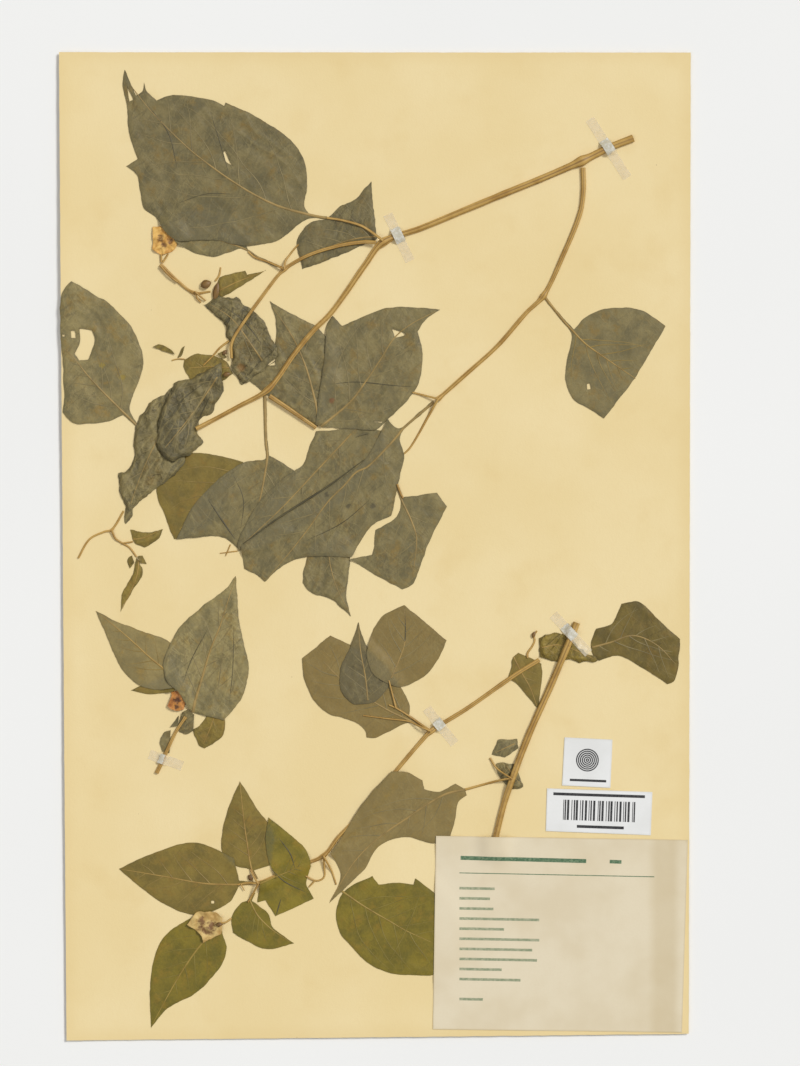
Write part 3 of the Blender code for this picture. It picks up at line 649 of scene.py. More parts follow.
def sheet_rise(x, y):
    """How far the card stands off a flat table: slow waves, and a lifted left edge."""
    wave = 0.35 + 0.2 * noise(x, y, 120, 3) + 0.12 * noise(x, y, 45, 4)
    lift = np.clip((-x - 108) / 26, 0, 1) ** 2 * (0.6 + 0.3 * noise(x, y, 90, 5))
    return np.maximum(wave + lift, 0.0)


def make_sheet():
    """The card, and the height field that everything else is laid on."""
    loops = [ragged(curve(node_loops("mounting_sheet")[0], 1.6, True), 2, 0.1)]
    plan, triangles = fill_with_triangles(loops, 2.6)
    low = sheet_rise(plan[:, 0], plan[:, 1])
    shape = Shape()
    rim = np.clip(1 - edge_distance(plan, loops) / 9, 0, 1)
    slab(shape, plan, triangles, low + SHEET_THICKNESS, low, edge=rim)
    shape.make("mounting_sheet", [CARD_PAINT], "card", ["mounting_sheet"])
    x, y = np.meshgrid(grid_x, grid_y)
    height[:] = np.where(fill(loops, WHOLE), sheet_rise(x, y) + SHEET_THICKNESS, 0.0)


make_sheet()


# ---------------------------------------------------------------- leaves

class Layer:
    """A thin piece over an outline: its triangles and the window of the grid it covers."""

    def __init__(self, loops, cell, thickness, margin=6.0):
        self.loops, self.thickness = loops, thickness
        self.plan, self.triangles = fill_with_triangles(loops, cell)
        self.window = window_round(loops, margin)
        self.inside = fill(loops, self.window)
        self.x, self.y = np.meshgrid(grid_x[self.window[1]], grid_y[self.window[0]])

    def at(self, field):
        """The values of a field of the window at the plan points."""
        return sample(field, self.window, self.plan[:, 0], self.plan[:, 1])

    def rim(self, reach):
        """1 at the margin, falling to 0 at reach."""
        return np.clip(1 - edge_distance(self.plan, self.loops) / reach, 0, 1)

    def bends(self, relief, share):
        """From -1 in the valleys of the relief to 1 on its crests, at the plan points."""
        bend = relief - soften(relief, 2)
        bend /= np.abs(bend[self.inside]).max() * share + 1e-6
        return np.clip(self.at(bend), -1, 1)

    def lay(self, shape, surface, **values):
        """Adds the piece to the shape, with its top on the surface."""
        top = self.at(surface)
        slab(shape, self.plan, self.triangles, top, top - self.thickness, **values)

    def settle(self, surface):
        """What is laid later rests on this piece."""
        height[self.window] = np.where(self.inside, surface, height[self.window])


def side_veins(rib, inside_at, pairs, spread, reach):
    """Lines of side veins that leave the rib at an angle and bend towards its tip."""
    lines = []
    steps = len(rib)
    for number in range(pairs):
        for side in (-1, 1):
            share = (number + 0.35 + 0.22 * side) / pairs
            start = min(int((0.04 + share * 0.86) * (steps - 1)), steps - 2)
            here = rib[start].copy()
            ahead = (rib[start + 1] - rib[start]).normalized()
            turn = math.radians(spread - 12 * share) * side
            heading = math.atan2(ahead.y, ahead.x) + turn
            tip = math.atan2(rib[-1].y - here.y, rib[-1].x - here.x)
            line = [here.copy()]
            for _ in range(int(reach)):
                off = (tip - heading + math.pi) % (2 * math.pi) - math.pi
                heading += off * 0.022
                heading += 0.05 * float(noise(here.x, here.y, 6.0, number + 3))
                here = here + Vector((math.cos(heading), math.sin(heading)))
                if not inside_at(here):
                    break
                line.append(here)
            if len(line) > 5:
                lines.append(line[:-1])
    return lines


# How the surface of a leaf is creased: strength and size of the folds in millimetres,
# how many times longer than wide they are, how torn the margin is in millimetres, and
# how crumpled the surface looks, from 0 to 1
CREASES = {
    "smooth": (0.24, 5.0, 2.6, 0.24, 0.08),
    "flat": (0.42, 4.5, 2.6, 0.28, 0.25),
    "wavy": (0.6, 4.2, 3.6, 0.4, 0.42),
    "crumpled": (1.35, 5.0, 2.2, 1.0, 1.0),
}


def lay_leaf(name, slot, style, rib, turn=0.6, pairs=5, spread=52, rib_width=1.1, holes=(),
             light=1.0, warm=0.0, paint=None, folds=()):
    """One leaf draped over what is under it, with its ribs, in place of its CAD node."""
    seed = sum(ord(letter) for letter in name) % 97
    strength, size, stretch, torn, crumple = CREASES[style]
    loops = [ragged(curve(loop, 0.7, True), seed, torn) for loop in node_loops(name)]
    loops += [ragged(curve(loop, 0.6, True), seed + 1, 0.2) for loop in holes]
    leaf = Layer(loops, LEAF_MESH, LEAF_THICKNESS)
    window, inside, x, y = leaf.window, leaf.inside, leaf.x, leaf.y
    relief = 0.55 * creases(x, y, size, stretch, turn, seed)
    relief += 0.3 * creases(x, y, size * 0.5, stretch, turn + 0.9, seed + 5)
    relief += 0.25 * noise(x, y, size * 3, seed + 7)
    if style == "crumpled":
        relief += 0.5 * creases(x, y, size * 1.7, 1.4, turn - 1.1, seed + 9)
    hug = np.clip(soften(soften(inside.astype(float), 2), 2) * 2.2 - 1.1, 0, 1)
    relief = strength * (relief - relief[inside].min()) * (0.12 + 0.88 * hug)
    surface = drape(window, 2) + 0.03 + relief + LEAF_THICKNESS
    shape = Shape()
    # The under value marks where another leaf lies beneath, for the painted overlap shade.
    leaf.lay(shape, surface, edge=leaf.rim(1.2), under=leaf.at(soften(leaf_cover[window], 1)),
             light=light, warm=warm, crumple=crumple,
             crease=leaf.bends(relief, 0.55) * min(strength * 1.6, 1.0))
    if rib:
        line = curve(rib, 1.0)
        widths = rib_width * 0.8 * (1 - np.linspace(0, 1, len(line))) ** 0.8 + 0.2
        strip(shape, line, widths, surface, window, RIB)
        solid = soften(inside.astype(float), 2)

        def inside_at(p):
            return sample(solid, window, p.x, p.y) > 0.97

        body = [p for p in line if inside_at(p)]
        if len(body) > 8:
            for vein in side_veins(body, inside_at, pairs, spread, 60):
                widths = 0.38 * (1 - np.linspace(0, 1, len(vein))) + 0.14
                strip(shape, vein, widths, surface, window, SIDE_VEIN)
    # Strips along folds: the ones in the fold shade material are dark and stand in for the shade
    # of the fold.
    for points, wide, material in folds:
        line = curve(points, 1.0)
        taper = np.sin(np.linspace(0.25, math.pi - 0.25, len(line)))
        strip(shape, line, wide * taper, surface, window, material)
    shape.make(name, [LEAF_PAINTS[paint or slot], *VEIN_PAINTS[slot], PAINTED_FOLD_SHADE], slot, [name])
    leaf.settle(surface)
    leaf_cover[window] = np.where(inside, 1.0, leaf_cover[window])


def lay_flower(name, slot, turn):
    """A pressed corolla: a small, strongly creased patch."""
    seed = len(name) * 7
    loops = [ragged(curve(loop, 0.5, True), seed, 0.35) for loop in node_loops(name)]
    petals = Layer(loops, 0.5, LEAF_THICKNESS)
    relief = creases(petals.x, petals.y, 2.6, 1.6, turn, seed)
    relief += 0.5 * creases(petals.x, petals.y, 1.4, 1.3, turn + 1, seed + 3)
    relief = 0.6 * (relief - relief[petals.inside].min())
    surface = drape(petals.window, 2) + 0.05 + relief + LEAF_THICKNESS
    shape = Shape()
    petals.lay(shape, surface, edge=petals.rim(1.0), crease=petals.bends(relief, 0.6))
    shape.make(name, [PETAL_PAINTS[name]], slot, [name])
    petals.settle(surface)


# ---------------------------------------------------------------- stems and twigs

def widened(how, numbers, reach=4):
    """Each number of a row replaced by how of its neighbours, such as their mean."""
    padded = np.pad(numbers, reach, mode="edge")
    return how([padded[k:k + len(numbers)] for k in range(2 * reach + 1)], axis=0)


def tube(shape, points, start_width, end_width, nodes=(), ribs=5):
    """A pressed, ribbed stem along the points, resting on what lies under it."""
    plan, side = plan_and_sides(curve(points, 0.8))
    count = len(plan)
    width = start_width + (end_width - start_width) * np.linspace(0, 1, count)
    for spot in nodes:
        gap = np.hypot(plan[:, 0] - spot[0], plan[:, 1] - spot[1])
        width = width * (1 + 0.45 * np.exp(-(gap / (start_width * 0.9)) ** 2))
    width = width * (1 + 0.05 * noise(plan[:, 0], plan[:, 1], 5, 8))
    rests = np.zeros(count)
    for out in (-0.5, -0.25, 0.0, 0.25, 0.5):
        spots = plan + side * (out * width)[:, None]
        rests = np.maximum(rests, sample(height, WHOLE, spots[:, 0], spots[:, 1]))
    base = widened(np.mean, widened(np.max, rests))
    sides = 16 if start_width > 1.4 else 10
    middle = base + 0.04 + width * STEM_FLATNESS / 2
    vertices, grooves = [], []
    for i in range(count):
        for k in range(sides):
            turn = 2 * math.pi * k / sides
            ridge = math.cos(ribs * turn + 0.02 * i + 0.7)
            swell = 1 + 0.07 * ridge
            out = math.cos(turn) * width[i] / 2 * swell
            up = math.sin(turn) * width[i] * STEM_FLATNESS / 2 * swell
            x, y = plan[i] + side[i] * out
            vertices.append((x, y, middle[i] + up))
            # The hollows between the ribs, where the paint puts shade.
            grooves.append(max(0.0, -ridge))
    shape.add(vertices, ring_faces(count, sides), groove=grooves)
    for i in range(count):
        reach = width[i] / 2
        c0, c1 = (int((plan[i, 0] + d - LEFT) / CELL + 0.5) for d in (-reach, reach))
        r0, r1 = (int((plan[i, 1] + d - BOTTOM) / CELL + 0.5) for d in (-reach, reach))
        patch = height[r0:r1 + 1, c0:c1 + 1]
        near = np.hypot(grid_x[c0:c1 + 1][None, :] - plan[i, 0],
                        grid_y[r0:r1 + 1][:, None] - plan[i, 1]) <= reach
        patch[near] = np.maximum(patch[near], middle[i] + width[i] * STEM_FLATNESS / 2)


def lay_stem(name, points, start_width, end_width, nodes=()):
    """A stem in place of its CAD node, a little thicker at its nodes."""
    shape = Shape()
    tube(shape, points, start_width, end_width, nodes)
    shape.make(name, [STEM_PAINT], "stem", [name])


def lay_twigs(name, twigs):
    """Thin side twigs that have no CAD node of their own, as one piece."""
    shape = Shape()
    for points, start_width, end_width in twigs:
        tube(shape, points, start_width, end_width, ribs=3)
    shape.make(name, [STEM_PAINT], "stem")


def small_blades(name, slot, outlines):
    """Leaflets, bud leaves and scraps too small to be CAD nodes, as one piece."""
    shape = Shape()
    for number, outline in enumerate(outlines):
        loops = [ragged(curve(outline, 0.5, True), number + 40, 0.15)]
        blade = Layer(loops, 0.6, LEAF_THICKNESS)
        relief = 0.3 * creases(blade.x, blade.y, 2.4, 1.8, 0.5 + number, number + 9)
        relief = relief - relief[blade.inside].min()
        surface = drape(blade.window, 1) + 0.05 + relief + LEAF_THICKNESS
        bend = (relief - soften(relief, 2)) * 6
        blade.lay(shape, surface, edge=blade.rim(0.9), light=0.95, crumple=0.5,
                  crease=np.clip(blade.at(bend), -1, 1))
        blade.settle(surface)
    shape.make(name, [LEAF_PAINTS[slot]], slot)


def bud(shape, x, y, long, wide, turn):
    """A flattened pointed bud resting on what is under it."""
    ground = float(sample(height, WHOLE, x, y))
    rings, sides = 9, 12
    vertices, grooves = [], []
    for i in range(rings):
        t = i / (rings - 1)
        reach = max(math.sin(math.pi * t) ** 0.7, 0.06) * (1 - 0.25 * t)
        for k in range(sides):
            angle = 2 * math.pi * k / sides
            out = math.cos(angle) * wide / 2 * reach * (1 + 0.08 * math.cos(5 * angle))
            along = (t - 0.5) * long
            up = math.sin(angle) * wide * 0.3 * reach
            vertices.append((x + along * math.cos(turn) - out * math.sin(turn),
                             y + along * math.sin(turn) + out * math.cos(turn),
                             ground + wide * 0.3 + up))
            # The hollows between the ribs, where the paint puts shade.
            grooves.append(max(0.0, -math.cos(5 * angle)))
    shape.add(vertices, ring_faces(rings, sides), groove=grooves)


def lay_buds(name, buds):
    """Buds and calyces that have no CAD node of their own, as one piece."""
    shape = Shape()
    for numbers in buds:
        bud(shape, *numbers)
    shape.make(name, [BROWN_PAINT], "stem")


# ---------------------------------------------------------------- the upper sprig

lay_flower("flower_upper", "petal_yellow", 0.4)
lay_leaf("leaf_far_left", "leaf_grey", "flat",
         [(-101.5, 51.6), (-107, 57), (-115, 65), (-122, 72.5), (-128, 80), (-132, 84)],
         turn=2.2, holes=[[(-129.5, 92), (-127.6, 92), (-127.2, 88.6), (-129.3, 88.8)],
                          [(-133, 90.3), (-131.8, 90.2), (-131.9, 89.2), (-133, 89.3)]],
         light=1.13)
lay_leaf("leaf_under_top", "leaf_grey", "flat",
         [(-41.2, 119.3), (-49.5, 122.9), (-54, 126), (-62, 129), (-72, 132), (-84, 135)],
         turn=2.8, pairs=3, rib_width=0.9, light=1.1)
lay_leaf("leaf_top", "leaf_grey", "flat",
         [(-20.5, 139.8), (-27, 141), (-40, 144.5), (-50, 149), (-60, 155), (-70, 162),
          (-80, 170), (-95, 185), (-103, 195)], turn=2.4, pairs=6, rib_width=1.2, light=0.92,
         folds=[([(-97, 188), (-88, 176), (-84, 160)], 0.45, FOLD_SHADE),
                ([(-60, 150), (-72, 150), (-84, 146)], 0.4, FOLD_SHADE),
                ([(-70, 185), (-66, 172), (-62, 158)], 0.4, FOLD_SHADE)])
lay_leaf("leaf_fork", "leaf_grey", "wavy",
         [(0.5, 132), (-8, 131), (-18, 128), (-28, 123)],
         turn=0.3, pairs=4, rib_width=0.6, light=0.82)
lay_leaf("leaf_right", "leaf_olive", "smooth",
         [(72, 106.6), (79.4, 97.2), (84.5, 91.5), (90, 86), (97, 81), (105, 75.5), (111, 71.5)],
         turn=0.9, pairs=5, rib_width=1.2, light=1.02, paint="leaf_grey")
lay_leaf("leaf_olive_under", "leaf_olive", "smooth",
         [(-60, 33), (-68, 27), (-76, 18), (-83, 7)], turn=0.8, pairs=4, rib_width=0.7,
         light=0.95)
lay_leaf("leaf_hanging", "leaf_grey", "flat",
         [(-46.9, 64.5), (-46.4, 44), (-45.8, 38.5), (-47, 30), (-48.5, 22), (-50.5, 14),
          (-54, 3)], turn=1.2, pairs=5, rib_width=1.6,
         folds=[([(-71, 20), (-65, 11), (-59.5, 3)], 0.7, FOLD_SHADE),
                ([(-60, 30), (-56, 20), (-57, 8)], 0.4, FOLD_SHADE)])
lay_leaf("leaf_crumpled_long", "leaf_grey", "crumpled",
         [(-82, 62), (-90, 50), (-98, 34), (-104, 18)], turn=1.1, pairs=4, rib_width=0.6,
         light=0.95)
lay_leaf("leaf_round_small", "leaf_olive", "wavy",
         [(-62, 76), (-70, 76.5), (-79, 76)], turn=0.2, pairs=3, rib_width=0.5)
lay_leaf("leaf_crumpled_low", "leaf_grey", "crumpled",
         [(-67, 72), (-75, 60), (-84, 48), (-89, 42)], turn=0.9, pairs=4, rib_width=0.6,
         light=0.8,
         folds=[([(-68, 74), (-74, 62), (-80, 52), (-86, 44)], 0.8, SIDE_VEIN),
                ([(-72, 70), (-82, 62), (-88, 52)], 0.6, FOLD_SHADE),
                ([(-70, 64), (-77, 50)], 0.6, FOLD_SHADE)])
lay_leaf("leaf_mid_left", "leaf_grey", "wavy",
         [(-23.8, 51.5), (-25, 60), (-27.5, 70), (-30, 78), (-35, 89), (-43.5, 102)],
         turn=2.0, pairs=5, rib_width=1.1,
         holes=[[(-42.6, 79.2), (-45, 77), (-42.2, 77.2)]])
lay_leaf("leaf_bud_side", "leaf_olive", "wavy",
         [(-66, 109), (-60, 112), (-54, 114.5), (-47.5, 117)], turn=0.4, pairs=3, rib_width=0.5)
lay_leaf("leaf_crumpled_high", "leaf_grey", "crumpled",
         [(-48, 79), (-54, 88), (-61, 97), (-70, 103)], turn=2.2, pairs=4, rib_width=0.6,
         light=0.8,
         folds=[([(-64, 102), (-56, 96), (-48, 86)], 0.6, FOLD_SHADE),
                ([(-57, 92), (-52, 80), (-50, 78)], 0.6, SIDE_VEIN)])
lay_leaf("leaf_behind_diagonal", "leaf_grey", "flat",
         [(-10, 48), (-25, 32), (-40, 16), (-55, 2)], turn=0.8, pairs=5, rib_width=0.8)
lay_leaf("leaf_mid_right", "leaf_grey", "flat",
         [(-23, 51), (-18, 55), (-10, 62), (-4, 70), (2, 79), (8.5, 89), (16, 95), (26, 100)],
         turn=0.9, pairs=6, rib_width=1.1,
         holes=[[(-0.5, 53.4), (3.2, 53.1), (3.2, 52.7), (-0.4, 52.9)]],
         folds=[([(-19, 69), (-8, 70), (8, 68.5), (16, 68)], 0.5, FOLD_SHADE)])
lay_leaf("leaf_folded_tip", "leaf_grey", "wavy",
         [(-20, 2), (-19, -8), (-16, -18), (-11, -28)], turn=1.4, pairs=3, rib_width=0.4)
lay_leaf("leaf_folded_side", "leaf_grey", "flat",
         [(9, 27.2), (11.3, 20), (15.5, 11), (17.7, 3.7), (17, -6), (16, -14)],
         turn=1.7, pairs=4, rib_width=0.9)
lay_leaf("leaf_diagonal", "leaf_grey", "flat",
         [(25, 61.4), (20.4, 57.5), (12, 50.2), (10.3, 48), (6, 43), (-3, 34), (-8, 31.5),
          (-13, 26), (-20, 19), (-28, 8), (-35, -1), (-46, -14)],
         turn=0.8, pairs=6, rib_width=1.2,
         holes=[[(-8, 46.6), (-5.5, 48), (-2.8, 48.4), (-2.8, 48), (-5.5, 47.4)]],
         folds=[([(-56, 1.2), (-40, 12.8), (-20, 25.6), (-5, 36.6)], 0.9, FOLD_SHADE),
                ([(-30, 2), (-14, 10), (-2, 20)], 0.4, FOLD_SHADE)])
lay_leaf("leaf_shoot_half", "leaf_olive", "wavy",
         [(-103, 3), (-99, 3.5), (-92, 6.5)], turn=0.3, pairs=2, rib_width=0.5)
lay_leaf("leaf_shoot_narrow", "leaf_olive", "wavy",
         [(-100.5, -6), (-101.5, -13), (-104.5, -20), (-107.6, -26.5)], turn=1.2, pairs=3,
         rib_width=0.5)

small_blades("leaflet_pair", "leaf_olive", [
    [(-94.6, 85), (-91.5, 86), (-86.5, 83.5), (-85, 81.6), (-90, 83)],
    [(-84, 80.3), (-82.3, 84.3), (-80.9, 85.4), (-82.3, 81.2)]])
lay_stem("flower_twig", [(-91.3, 120), (-84, 113), (-77, 108), (-70, 108.5)], 1.6, 0.8,
         nodes=[(-77, 108)])
lay_stem("corner_shoot", [(-107, 15), (-112, 7), (-115, 6.3), (-121.5, 3), (-126.3, -5)],
         0.9, 0.8, nodes=[(-112, 7)])
lay_stem("upper_main_stem",
         [(110, 173.7), (100, 169.8), (88, 164), (71.4, 156.8), (57, 151), (40, 144),
          (20, 135.7), (3.5, 129.5), (-3.8, 120.3), (-12.4, 107.8), (-19.1, 98.8),
          (-26.1, 91.8), (-34.6, 81.4), (-41.5, 71.3), (-46.6, 65.8), (-57.8, 59.7),
          (-67.6, 54.4), (-76, 50)], 3.0, 1.7,
         nodes=[(88, 164), (3.5, 129.5), (-44.8, 66.5)])
lay_stem("upper_right_branch",
         [(88.6, 161.2), (88.8, 152), (87.3, 141.6), (80, 123.6), (72, 107), (64.6, 99.6),
          (54.3, 87.6), (49.1, 82.4), (41.4, 75.6), (26.9, 62.7)], 2.0, 1.6,
         nodes=[(72, 106.5), (26.9, 62.7)])
lay_stem("upper_high_branch",
         [(0.5, 129.2), (-5, 129.5), (-15, 128), (-28, 124), (-38.5, 118), (-45, 110.5),
          (-58, 92), (-61, 86), (-61, 80)], 1.6, 1.2, nodes=[(-38.5, 118)])
lay_stem("upper_low_arm", [(-44.8, 64), (-38, 59.5), (-30, 54), (-25, 50.5)], 2.0, 1.5)
lay_twigs("upper_twigs", [
    ([(3.5, 130), (-3, 134.8), (-6, 136.5), (-10, 137.8), (-15, 139), (-20.5, 139.8)], 1.1, 1.0),
    ([(-38.5, 118), (-46, 121.3), (-51, 123), (-54, 125.5)], 1.0, 0.7),
    ([(-38.5, 118), (-38, 121.5), (-36, 124.5), (-34, 127), (-32.5, 128.5)], 0.9, 0.7),
    ([(26.9, 62.7), (20, 64.5), (16, 65.6)], 0.9, 0.7),
    ([(26.9, 62.7), (22, 54), (19, 48.5), (15, 42), (12.5, 39.5)], 1.1, 0.7),
    ([(9.5, 26.5), (11, 22.5), (12, 20.5)], 0.9, 0.8),
    ([(-91.3, 119.5), (-87.5, 115.2), (-84, 112.5)], 0.9, 0.8),
    ([(-91, 124.3), (-90.9, 121)], 0.8, 0.8),
    ([(-88, 124.5), (-89.2, 122.4), (-90.3, 120.8)], 0.7, 0.8),
    ([(-76.5, 108.5), (-75.5, 105.5), (-74, 103.8)], 0.8, 0.6),
    ([(-76.5, 108.5), (-75, 107), (-72, 104.5)], 0.8, 0.6),
    ([(-68, 113), (-66.3, 115.5), (-65.7, 118.8)], 0.8, 0.6),
    ([(-62, 87.5), (-66, 84.5), (-69, 81), (-73, 77)], 0.9, 0.6),
    ([(-86.5, 79.2), (-84, 79.8), (-81, 79.7)], 0.5, 0.5),
    ([(-112, 7), (-110.5, 3.5), (-107.5, 1.3), (-104.5, -0.5), (-101.5, -4.5)], 0.9, 0.7),
    ([(-107.5, 1.3), (-103, 2)], 0.7, 0.6),
    ([(-58.5, -2), (-66, -3)], 0.5, 0.4),
    ([(-61.5, 0.8), (-63.5, -4)], 0.5, 0.4)])
small_blades("shoot_bud_leaves", "leaf_olive", [
    [(-104.8, -4.8), (-105.4, -6.5), (-104.3, -9.3), (-102.5, -7), (-103.5, -4)],
    [(-101, -4.2), (-99, -4), (-97.3, -7.5), (-100, -7)],
    [(-67, 82), (-65, 83), (-63, 80.4), (-65, 80)]])
lay_buds("upper_buds", [(-71.8, 111.5, 4.8, 4.2, 0.4), (-67.5, 108.5, 8.0, 3.0, 1.4),
                        (-64, 82.5, 2.6, 2.0, 0.9), (-63, 73.2, 3.4, 2.4, 0.2),
                        (-85, -65.0, 2.4, 1.6, 1.2)])


# ---------------------------------------------------------------- the left sprig

lay_flower("flower_left", "petal_orange", 1.2)
lay_leaf("left_leaf_under", "leaf_olive", "smooth", [(-80.5, -58), (-90, -59), (-102, -61)],
         turn=0.2, pairs=2, rib_width=0.5)
lay_leaf("left_leaf_high", "leaf_olive", "smooth",
         [(-86, -55), (-95, -48), (-106, -38), (-117, -29)], turn=2.4, pairs=5, rib_width=0.9,
         light=1.28, warm=0.25, paint="leaf_grey")
lay_leaf("left_leaf_torn", "leaf_olive", "wavy", [(-68, -71), (-70, -77), (-73, -84)],
         turn=1.3, pairs=2, rib_width=0.5)
lay_leaf("left_leaf_big", "leaf_grey", "wavy",
         [(-77.5, -70.5), (-76, -64), (-73, -54), (-70, -44), (-66, -34), (-60, -15)],
         turn=1.25, pairs=6, spread=44, rib_width=1.3, light=1.28,
         folds=[([(-82, -59), (-78, -48), (-71, -35)], 0.4, FOLD_SHADE),
                ([(-62, -67), (-60.5, -52), (-60, -34)], 0.35, FOLD_SHADE),
                ([(-68, -68), (-66, -55), (-64, -40)], 0.45, SIDE_VEIN)])
small_blades("left_scraps", "leaf_grey", [
    [(-82, -70.5), (-79.5, -69.5), (-77, -71.5), (-77.3, -78.5), (-80, -80), (-83, -79.2),
     (-84, -77)],
    [(-83.5, -72), (-87.3, -77), (-83.8, -76.5)],
    [(-89.7, -79.3), (-87, -78.3), (-87.5, -88), (-90.5, -87.3), (-91.5, -83.5)]])
lay_stem("left_stem", [(-93, -96.5), (-91, -92.5), (-85, -79.5), (-80.5, -72.5)], 1.6, 1.2,
         nodes=[(-80.5, -72.5)])


# ---------------------------------------------------------------- the lower sprig

lay_leaf("stem_leaf_outer", "leaf_grey", "flat",
         [(92.5, -43), (100, -41), (110, -38), (120, -42), (128, -50)], turn=0.5, pairs=5,
         rib_width=0.8, light=0.72, paint="leaf_olive")
lay_leaf("stem_leaf_inner", "leaf_olive", "smooth",
         [(59, -47), (62, -53), (66, -60), (69, -68)], turn=1.1, pairs=3, rib_width=0.5)
lay_leaf("stem_leaf_across", "leaf_olive", "crumpled",
         [(71, -43), (78, -42), (86, -44.5), (93, -47.8)], turn=0.2, pairs=3, rib_width=0.5)
lay_leaf("stem_leaf_small", "leaf_grey", "wavy", [(59.5, -84), (55, -86), (51, -88)],
         turn=0.5, pairs=2, rib_width=0.4)
lay_leaf("stem_leaf_torn", "leaf_grey", "crumpled", [(56, -93.5), (59, -97.5), (62, -101.5)],
         turn=0.9, pairs=2, rib_width=0.4)
lay_leaf("lower_leaf_wide", "leaf_grey", "smooth",
         [(22.6, -78.1), (14.5, -74), (6, -70), (-4, -64), (-14, -57), (-22, -49)],
         turn=2.5, pairs=5, rib_width=1.0, light=1.08, warm=0.8)
lay_leaf("lower_leaf_middle", "leaf_grey", "flat",
         [(-3, -65.5), (-4, -56), (-6, -45), (-7, -34)], turn=1.6, pairs=4, rib_width=0.7,
         light=0.8, warm=0.4)
lay_leaf("lower_leaf_folded", "leaf_grey", "smooth",
         [(7, -56), (10, -49), (12.5, -42), (13, -35), (12.5, -26.5)], turn=1.3, pairs=4,
         rib_width=0.7, light=1.06, warm=0.75,
         folds=[([(12.6, -26), (13, -35), (12.5, -42), (10, -49), (7.4, -55)], 0.5, FOLD_SHADE)])
lay_leaf("lower_leaf_label", "leaf_green", "smooth",
         [(-14.5, -146.5), (-5, -153), (0, -156), (7, -160), (13, -163.5), (24, -168.5)],
         turn=2.6, pairs=5, rib_width=0.9, light=1.02,
         folds=[([(19.5, -147), (16, -157), (12, -166), (6, -177)], 0.6, SIDE_VEIN)])
lay_leaf("lower_leaf_north", "leaf_olive", "smooth",
         [(-50.4, -141.5), (-52.5, -137.5), (-54.5, -126), (-56, -115), (-57.4, -101)],
         turn=1.8, pairs=5, rib_width=0.8)
lay_leaf("lower_leaf_west", "leaf_olive", "smooth",
         [(-50.6, -143.4), (-57.9, -144), (-73, -143.5), (-90, -140.5), (-108, -137.5)],
         turn=3.0, pairs=5, rib_width=0.9,
         holes=[[(-69.6, -151), (-68.4, -151), (-68.4, -152), (-69.6, -152)]])
lay_stem("lower_main_stem",
         [(70, -48.3), (60, -54.5), (40, -68.5), (24, -78.6), (19.5, -83.2), (9.5, -95),
          (2, -104.5), (-8.5, -116.5), (-15.5, -123.7), (-21.8, -131.6), (-31, -135.5),
          (-49.5, -143.5)], 1.9, 1.4,
         nodes=[(24, -78.6), (-21.8, -131.6), (-49.5, -143.5)])
lay_leaf("lower_leaf_creased", "leaf_green", "smooth",
         [(-49, -143.5), (-42, -140.5), (-36, -138), (-30, -135)], turn=2.0, pairs=3,
         rib_width=0.7, light=1.1,
         folds=[([(-40, -150), (-41, -153.5), (-42, -157)], 0.6, FOLD_SHADE),
                ([(-44.5, -137), (-38, -143), (-30, -147)], 0.5, FOLD_SHADE),
                ([(-41, -124), (-36, -131), (-34, -137)], 0.5, FOLD_SHADE)])
lay_leaf("lower_leaf_round", "leaf_green", "smooth",
         [(-51.2, -147.4), (-53.2, -150.8), (-50, -157), (-44, -163), (-36, -168.5)],
         turn=2.3, pairs=4, rib_width=0.8)
lay_leaf("lower_leaf_green", "leaf_green", "smooth",
         [(-69, -164), (-76, -172), (-84, -184), (-94.5, -203)], turn=0.9, pairs=5, rib_width=0.9)
lay_flower("flower_lower", "petal_pale", 0.9)
lay_stem("thick_stem",
         [(86, -32.5), (83, -40), (75, -59), (65, -81.5), (56, -106), (51.5, -123.5),
          (50.8, -128)], 2.9, 2.4)
lay_leaf("lower_leaf_long", "leaf_grey", "smooth",
         [(38.5, -103.5), (30, -105.5), (22, -110), (14, -115.5), (5, -121.5), (-3, -128),
          (-10, -136), (-19, -151)], turn=0.7, pairs=6, rib_width=1.1, light=1.15, warm=0.6)
lay_twigs("lower_twigs", [
    ([(24, -78.6), (20, -76), (15, -72.5), (9, -68.8), (6, -67.5)], 0.9, 0.7),
    ([(9, -68.8), (7.5, -63), (6, -57)], 0.8, 0.6),
    ([(24, -78.6), (19, -76.5), (14.5, -74.5), (5, -73.3), (-5, -72)], 0.8, 0.5),
    ([(-21.8, -131.6), (-21.5, -137), (-21.5, -140.5), (-23, -142), (-25.5, -142.3),
      (-29.5, -140.3)], 0.9, 0.6),
    ([(-25.5, -142.3), (-28, -145)], 0.7, 0.6),
    ([(-21.8, -131.6), (-18.5, -138), (-16.5, -144)], 0.9, 0.7),
    ([(-49.5, -143.5), (-54, -143.2), (-58.5, -144)], 0.9, 0.7),
    ([(-49.5, -143.5), (-51.5, -140.5), (-53, -137.5)], 0.9, 0.7),
    ([(-49.5, -143.5), (-52, -148), (-54, -151.5)], 0.9, 0.7),
    ([(-57, -143.5), (-56.2, -145.3), (-55.5, -146.5)], 0.6, 0.4),
    ([(-65.5, -160.3), (-63, -159.7), (-61, -158.3)], 0.8, 0.7),
    ([(38.5, -103.5), (45, -101.7), (55, -99), (58, -98.5)], 1.0, 0.9),
    ([(49, -90), (52, -94.5), (58.5, -98.8)], 0.8, 0.7),
    ([(65, -47.5), (65, -45.5), (67, -42.5), (68, -40), (67.5, -38), (69, -36)], 0.9, 0.7)])
